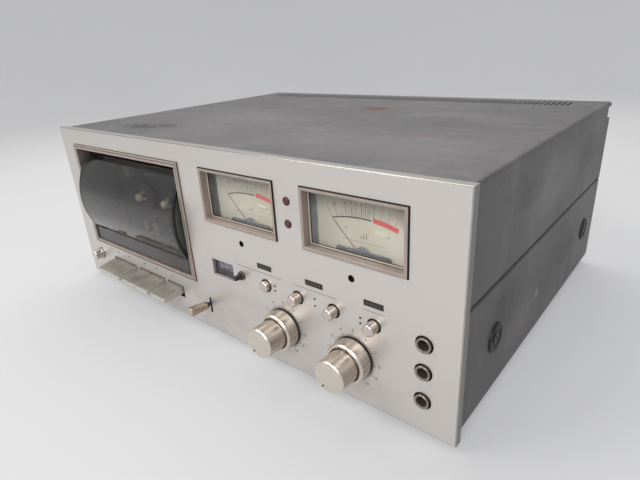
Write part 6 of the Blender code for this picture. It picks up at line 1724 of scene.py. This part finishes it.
# The flange's groove and the foot of its outer side wear the dark recess finish as painted shade, and the
# dark strip round it, wider at the top and right, is painted shadow on the panel
rim(shape, across, up, profile, [1, 0, 0, 0, 1, 1, 1, 0, 0, 2, 2, 2, 2])
strip(shape, widened(across, 0.1, 0.4), widened(up, 0.1, 0.4), 0, 0.35, LIFT, 0.10, 1)
left, right = widened(across, -FLANGE_LAP)
low, high = widened(up, -FLANGE_LAP)
wall = fillet([(WALL_FRONT, low), (WALL_FRONT, high), (TRAY_BACK, high), (TRAY_BACK, EAR_HIGH),
               (EAR_BACK, EAR_HIGH), (EAR_BACK, EAR_LOW), (TRAY_BACK, EAR_LOW), (TRAY_BACK, low)],
              [0, 0, 1, 2, 4, 4, 2, 1], 4, closed=True)
for start, end in ((left, left + TRAY_WALL), (right - TRAY_WALL, right)):
    side_plate(shape, wall, (start, end), slot=2)
inner_left, inner_right = widened((left, right), -TRAY_WALL)
side_plate(shape, block((WALL_FRONT, TRAY_BACK), (low, low + TRAY_WALL)),
           (inner_left + 0.02, inner_right - 0.02), slot=2)
for start, turn in ((inner_left, 1), (inner_right, -1)):
    place = on_panel(start * MM, PIVOT[1] * MM, -PIVOT[0] * MM)
    spun(shape, PIN, facing((turn, 0, 0), place), 32, slot=2)
settle(finish_piece("cassette_tray", shape, [TAUPE, SHADOW, BAY_WALL]), "deck", "taupe", "cassette_bezel")
print("tray", round(right - left, 1), "by", round(high - low, 1), "mm")

# %% What stands in the bay
for node in ("deck_plate", "key_axle"):
    paint(node, MECHANISM)
# Guides stand this deep, just in front of the deck plate
SEAT = 30.7
GUIDE_GREY = moulded_finish("guide grey", srgb(112, 108, 102), 0.4)
BRACKET_GREEN = moulded_finish("bracket green", srgb(118, 126, 112), 0.4)
BRACKET = ((-151.0, 118.6), (-144.5, 118.6), (-140.0, 108.0), (-142.0, 104.5), (-146.0, 104.5),
           (-148.5, 110.0))
shape = bmesh.new()
rail = fillet([(19.0, 119.0), (19.0, 125.5), (SEAT, 125.5), (SEAT, 119.0)], [1.2, 1.2, 0, 0], closed=True)
side_plate(shape, rail, (-172.0, -44.0), 0.3)
plate(shape, fillet(BRACKET, 1.0, 3, closed=True), (-SEAT, -SEAT + 5.7), 0.4, slot=1)
tab = fillet(block((-118.0, -96.0), (110.0, 112.5)), 0.8, 3, closed=True)
plate(shape, tab, (-SEAT, -SEAT + 2.7), 0.3)
settle(finish_piece("cassette_guides", shape, [GUIDE_GREY, BRACKET_GREEN]), "deck", "steel")
print("guides", SEAT, "mm behind the panel's face")

# %% The hubs
SPINDLE_CREAM = moulded_finish("hub cream", srgb(226, 218, 190), 0.34, dusty=0.05)
HUB_DISC = [(0, -41.8), (1.45, -41.8), (1.45, -30.8), (13.4, -30.8), (14.0, -30.3), (14.0, -28.6),
            (13.4, -28.1), (11.0, -28.1), (10.6, -28.5), (6.2, -28.5), (5.8, -27.9), (2.6, -27.9),
            (2.6, -25.05), (0, -25.05)]
HUB_NOSE = [(0, -25.0), (2.9, -25.0), (3.7, -24.2), (3.9, -22.0), (3.5, -20.4), (2.2, -19.5), (0, -19.4)]
HUB_NOSE = fillet(HUB_NOSE, [0, 0.2, 0.5, 0.8, 0.6, 0.8, 0])
HUB_LUG, LUG_BACK, LUG_FRONT = [(-0.9, 2.4), (0.9, 2.4), (0.6, 5.2), (-0.6, 5.2)], -27.8, -24.6


def hub(side):
    """A cream hub with a rounded nose and three drive lugs, on a grey disc."""
    matrix = facing(TOWARDS_EYE, front_round(side + "_spindle")[0])
    shape = bmesh.new()
    spun(shape, HUB_DISC, matrix, 64, slot=1)
    spun(shape, HUB_NOSE, matrix, 48)
    for turn in (0, 120, 240):
        spin = Matrix.Rotation(math.radians(turn), 4, "Z")
        slab(shape, HUB_LUG, LUG_BACK, LUG_FRONT, matrix @ spin, 0.25)
    made = finish_piece("hub_" + side, shape, [SPINDLE_CREAM, MECHANISM], 35)
    settle(made, side + "_reel", "cream", side + "_spindle")


for side in ("supply", "takeup"):
    hub(side)
print("hubs", round(2 * max(radius for radius, out in HUB_DISC), 1), "mm across")

# %% [markdown]
# ## The smoked visor
# The visor is a drum-shaped window that swings up on two pins. Its looks come from three
# things at once: tinted see-through plastic, a skin that mirrors what is round it, and black
# edges at both ends. So the skin is a real clear material with real thickness, drawn as two
# arcs from the side. A smoked tint is a colour for light that passes through.

# %% The skin
VISOR_RADIUS, VISOR_SKIN = 59.0, 2.5
VISOR_TOP, VISOR_STEPS = 135.0, 56
LIP_LOW, LIP_THICK = 44.5, 2.5
EDGE_ARC, CHEEK, CHEEK_INSET = 2.3, 1.9, 0.1
CHEEK_EYE, CHEEK_BORE = 6.0, 2.9
SMOKE = clear_finish("smoked visor", (0.50, 0.48, 0.465), 0.03, 0.02)
CHEEK_SMOKE = moulded_finish("visor cheek", srgb(70, 72, 67), 0.24, wear=0.2)
SMOKE_EDGE = moulded_finish("visor edge", srgb(15, 15, 16), 0.42, wear=0.1, dusty=0.05)
GREY_LABEL = ink("grey plate", srgb(72, 70, 66), 0.5)
SHEER = ink("etched line", srgb(62, 59, 58), 0.5)


def drum(radius, front):
    """The side view of the drum from its top to where it meets a flat face at this depth."""
    low = 360 - math.degrees(math.acos((front - PIVOT[0]) / radius))
    return circle(radius, VISOR_STEPS, PIVOT, VISOR_TOP, low - VISOR_TOP)


left, right = ends("cassette_door")[0]
outer, inner = drum(VISOR_RADIUS, 0.0), drum(VISOR_RADIUS - VISOR_SKIN, LIP_THICK)
shape = bmesh.new()
side_plate(shape, outer + [(0, LIP_LOW), (LIP_THICK, LIP_LOW)] + inner[::-1], (left + 2.0, right - 2.0))
skin = finish_piece("visor_skin", shape, SMOKE, 20)
settle(skin, "door", "smoke", "cassette_door")
print("visor", round(right - left, 1), "mm wide")

# %% The visor's two ends
def cut_round(piece, radius, place, direction, length):
    """Drill a round hole through a piece with a Boolean, then keep the plain mesh."""
    tool = bmesh.new()
    bmesh.ops.create_cone(tool, cap_ends=True, segments=48, radius1=radius * MM, radius2=radius * MM,
                          depth=length * MM, matrix=facing(direction, place))
    drill = finish_piece("drill", tool, SHADOW)
    modifier = piece.modifiers.new("hole", "BOOLEAN")
    modifier.object, modifier.operation, modifier.solver = drill, "DIFFERENCE", "EXACT"
    graph = bpy.context.evaluated_depsgraph_get()
    done = bpy.data.meshes.new_from_object(piece.evaluated_get(graph))
    piece.modifiers.remove(modifier)
    old, piece.data = piece.data, done
    bpy.data.meshes.remove(old)
    bpy.data.objects.remove(drill)


edge_line = outer + [(0, LIP_LOW), (EDGE_ARC, LIP_LOW)] + drum(VISOR_RADIUS - EDGE_ARC, EDGE_ARC)[::-1]
cheek_front = EDGE_ARC + HAIR
cheek_line = drum(VISOR_RADIUS - cheek_front, cheek_front)
cheek_line += [(cheek_front, LIP_LOW), (LIP_THICK, LIP_LOW), (LIP_THICK, 58.0)]
cheek_line += circle(CHEEK_EYE, 12, PIVOT, -90, 135)
for name, start, end in (("left", left, left + CHEEK), ("right", right - CHEEK, right)):
    shape = bmesh.new()
    side_plate(shape, edge_line, (start, end), 0.25)
    settle(finish_piece("visor_edge_" + name, shape, SMOKE_EDGE, 35), "door", "smoke")
    shape = bmesh.new()
    side_plate(shape, cheek_line, (start + CHEEK_INSET, end - CHEEK_INSET))
    cheek = finish_piece("visor_cheek_" + name, shape, CHEEK_SMOKE, 35)
    axis = on_panel((start + end) / 2 * MM, PIVOT[1] * MM, -PIVOT[0] * MM)
    cut_round(cheek, CHEEK_BORE, axis, (1, 0, 0), 8.0)
    settle(cheek, "door", "smoke")
print("cheeks with a bore of", 2 * CHEEK_BORE, "mm")

# %% Plain plates on the visor
# Each plate's ends across, its angles on the drum, and its slot: 0 grey, 1 an etched line
VISOR_PLATES = ((-129.0, -122.5, 203.4, 209.0, 0), (-98.0, -57.0, 202.0, 207.6, 0),
                (-54.5, -34.5, 202.0, 207.6, 0), (left + 2.4, right - 2.4, 211.2, 211.6, 1))
shape = bmesh.new()
for start, end, high_turn, low_turn, slot in VISOR_PLATES:
    lines = [circle(VISOR_RADIUS + lift, 10, PIVOT, high_turn, low_turn - high_turn) for lift in (0.10, 0.02)]
    side_plate(shape, lines[0] + lines[1][::-1], (start, end), slot=slot)
settle(finish_piece("visor_plates", shape, [GREY_LABEL, SHEER]), "door", "smoke")
print("visor plates", len(VISOR_PLATES))

# %% [markdown]
# ## Screws, cups and what is fixed to the case
# The case is held by screws that sit in black dished cups, one near each end of both sides.
# Smaller screws hold the back. A screw repeats, so a Geometry Nodes tree puts a head and its
# dark cross, a painted shade for its recess, on every point of a mesh and turns each by its own
# amount, as a hand leaves them.

# %% Cups, heads and where they go
# The cups' depths behind the panel's face and heights over its lower edge
SIDE_CUPS = ((52.4, 45.0), (265.6, 44.4))
CUP = [(10.0, 0.02), (9.9, 0.7), (9.3, 1.3), (8.5, 1.45), (7.6, 1.3), (6.2, 0.5), (5.4, 0.25), (0, 0.25)]
HEAD = [(0, 0.02), (2.9, 0.02), (2.9, 0.75), (2.5, 1.05), (1.9, 1.15), (0, 1.15)]
# The back's screws, across and up from the floor
REAR_SCREWS = ((-196, 16), (-196, 146), (0, 16), (0, 146), (196, 16), (196, 146), (100, 64), (140, 64),
               (-169, 44), (-131, 44))
SCREW_METAL = moulded_finish("blackened screw", srgb(46, 45, 46), 0.30, wear=0.8)
CUP_BLACK = moulded_finish("cup black", srgb(22, 21, 22), 0.55, wear=0.25)
# The dark cross on each head is painted shade standing for its cross recess
CROSS_SHADE = [(-2.0, -0.4), (-0.4, -0.4), (-0.4, -2.0), (0.4, -2.0), (0.4, -0.4), (2.0, -0.4),
         (2.0, 0.4), (0.4, 0.4), (0.4, 2.0), (-0.4, 2.0), (-0.4, 0.4), (-2.0, 0.4)]
CROSS_LOW, CROSS_HIGH = 1.16, 1.2
print("screws on the back", len(REAR_SCREWS))

# %% A screw on every point
def screw_tree():
    """A head and its cross on each point, faced one way and each turned at random."""
    tree, given, out = geometry_tree("screws on points", (
        ("Points", "Geometry"), ("Head", "Object"), ("Cross", "Object"), ("Facing", "Vector"),
        ("Size", "Float"), ("Seed", "Int"), ("Metal", "Material"), ("Dark", "Material")))
    spin = add(tree, "FunctionNodeRandomValue", {2: 0.0, 3: 3.1416, "Seed": given["Seed"]}).outputs[1]
    turn = add(tree, "ShaderNodeCombineXYZ", {2: spin}).outputs[0]
    together = tree.nodes.new("GeometryNodeJoinGeometry")
    for part, material in (("Head", "Metal"), ("Cross", "Dark")):
        solid = add(tree, "GeometryNodeObjectInfo", {"Object": given[part]}).outputs["Geometry"]
        where = {"Points": given["Points"], "Instance": solid, "Rotation": given["Facing"],
                 "Scale": given["Size"]}
        copies = add(tree, "GeometryNodeInstanceOnPoints", where).outputs[0]
        turned = add(tree, "GeometryNodeRotateInstances", {"Instances": copies, "Rotation": turn}).outputs[0]
        tree.links.new(realised(tree, turned, given[material]), together.inputs[0])
    tree.links.new(together.outputs[0], out.inputs[0])
    return tree


SCREWS = screw_tree()
# The head and the cross that the tree copies, both along +Z
head, cross = bmesh.new(), bmesh.new()
spun(head, HEAD, Matrix(), 24)
slab(cross, CROSS_SHADE, CROSS_LOW, CROSS_HIGH, Matrix())
HEAD_PIECE = finish_piece("screw_head", head, SCREW_METAL, 35)
CROSS_SHADE_PIECE = finish_piece("screw_cross", cross, SHADOW)


def add_screws(shape, points, facing_angles, size, seed):
    """Add a screw at each point, with its metal in slot 0 and its dark cross in slot 1."""
    spots = bpy.data.meshes.new("screw spots")
    spots.from_pydata(points, [], [])
    values = {"Head": HEAD_PIECE, "Cross": CROSS_SHADE_PIECE, "Facing": facing_angles, "Size": size, "Seed": seed,
              "Metal": SCREW_METAL, "Dark": SHADOW}
    made = grown(SCREWS, values, spots)
    for polygon in made.polygons:
        polygon.material_index = int(made.materials[polygon.material_index] == SHADOW)
    shape.from_mesh(made)
    bpy.data.meshes.remove(made)


print("tree", SCREWS.name, "with", len(SCREWS.nodes), "nodes")

# %% Cups and screws on the case
SIDE_SCREW, REAR_SCREW = 1.2, 1.0
SIDE_SEED, REAR_SEED = 3, 11
HEAD_OUT = 0.06 * MM
quarter = math.radians(90)
side_x = COVER_HIGH.x
cups, screws = bmesh.new(), bmesh.new()
for turn in (1, -1):
    spots = [Vector((turn * side_x, FACE + depth * MM, PANEL_LOW.z + up * MM)) for depth, up in SIDE_CUPS]
    for spot in spots:
        spun(cups, CUP, facing((turn, 0, 0), spot), 48)
    heads = [spot + Vector((turn * HEAD_OUT, 0, 0)) for spot in spots]
    add_screws(screws, heads, (0.0, turn * quarter, 0.0), SIDE_SCREW, SIDE_SEED + turn)
rear_y = corners("rear_panel")[1].y
spots = [Vector((x * MM, rear_y, z * MM)) for x, z in REAR_SCREWS]
add_screws(screws, spots, (-quarter, 0.0, 0.0), REAR_SCREW, REAR_SEED)
bpy.data.objects.remove(HEAD_PIECE)
bpy.data.objects.remove(CROSS_SHADE_PIECE)
settle(finish_piece("side_cups", cups, CUP_BLACK, 35), "deck", "black_plastic")
settle(finish_piece("case_screws", screws, [SCREW_METAL, SHADOW], 35), "deck", "steel")
print("screws", len(REAR_SCREWS) + 2 * len(SIDE_CUPS))

# %% Feet, and painted shadow along the case's joint
SEAM_BELOW, SEAM_ABOVE, SEAM_LOW, SEAM_HIGH = 0.9, 0.3, 0.02, 0.07
for end in ("front", "rear"):
    for side in ("left", "right"):
        paint("foot_{}_{}".format(end, side), RUBBER)
# A dark strip along the joint of cover and base, on both sides, is painted shadow in the gap
seam_shadow = bmesh.new()
seam_up = (COVER_LOW.z - PANEL_LOW.z) / MM
line = block((8.0, (COVER_HIGH.y - FACE) / MM - 0.3), (seam_up - SEAM_BELOW, seam_up + SEAM_ABOVE))
for turn in (1, -1):
    side_plate(seam_shadow, line, sorted(turn * (side_x / MM + lift) for lift in (SEAM_LOW, SEAM_HIGH)))
settle(finish_piece("case_seam", seam_shadow, SHADOW), "deck", "black_plastic")
print("seam", round(seam_up, 1), "mm over the panel's lower edge")

# %% The sockets at the back
SOCKET_STEP = 8
SLEEVE = [(3.2, 6.75), (3.35, 6.9), (4.2, 6.9), (4.35, 6.7), (4.35, 1.4), (5.6, 1.4), (5.6, 0.03),
          (4.3, 0.03)]
SLEEVE_RING = [(2.25, 6.2), (2.25, 6.8), (3.3, 6.8), (3.3, 6.2)]
SOCKET_CREAM = moulded_finish("socket cream", srgb(208, 202, 188), 0.4)
SOCKET_RED = moulded_finish("socket red", srgb(150, 44, 38), 0.4)
strip_middle = middle("socket_strip")
sleeves = bmesh.new()
for across in (-SOCKET_STEP, SOCKET_STEP):
    for up in (-SOCKET_STEP, SOCKET_STEP):
        spot = Vector((strip_middle.x + across * MM, rear_y, strip_middle.z + up * MM))
        matrix = facing((0, 1, 0), spot)
        spun(sleeves, SLEEVE, matrix, 32)
        spun(sleeves, SLEEVE_RING, matrix, 32, closed=True, slot=1 if up < 0 else 2)
settle(finish_piece("socket_sleeves", sleeves, [CHROME, SOCKET_RED, SOCKET_CREAM], 35), "deck", "chrome")
print("sockets", 4)
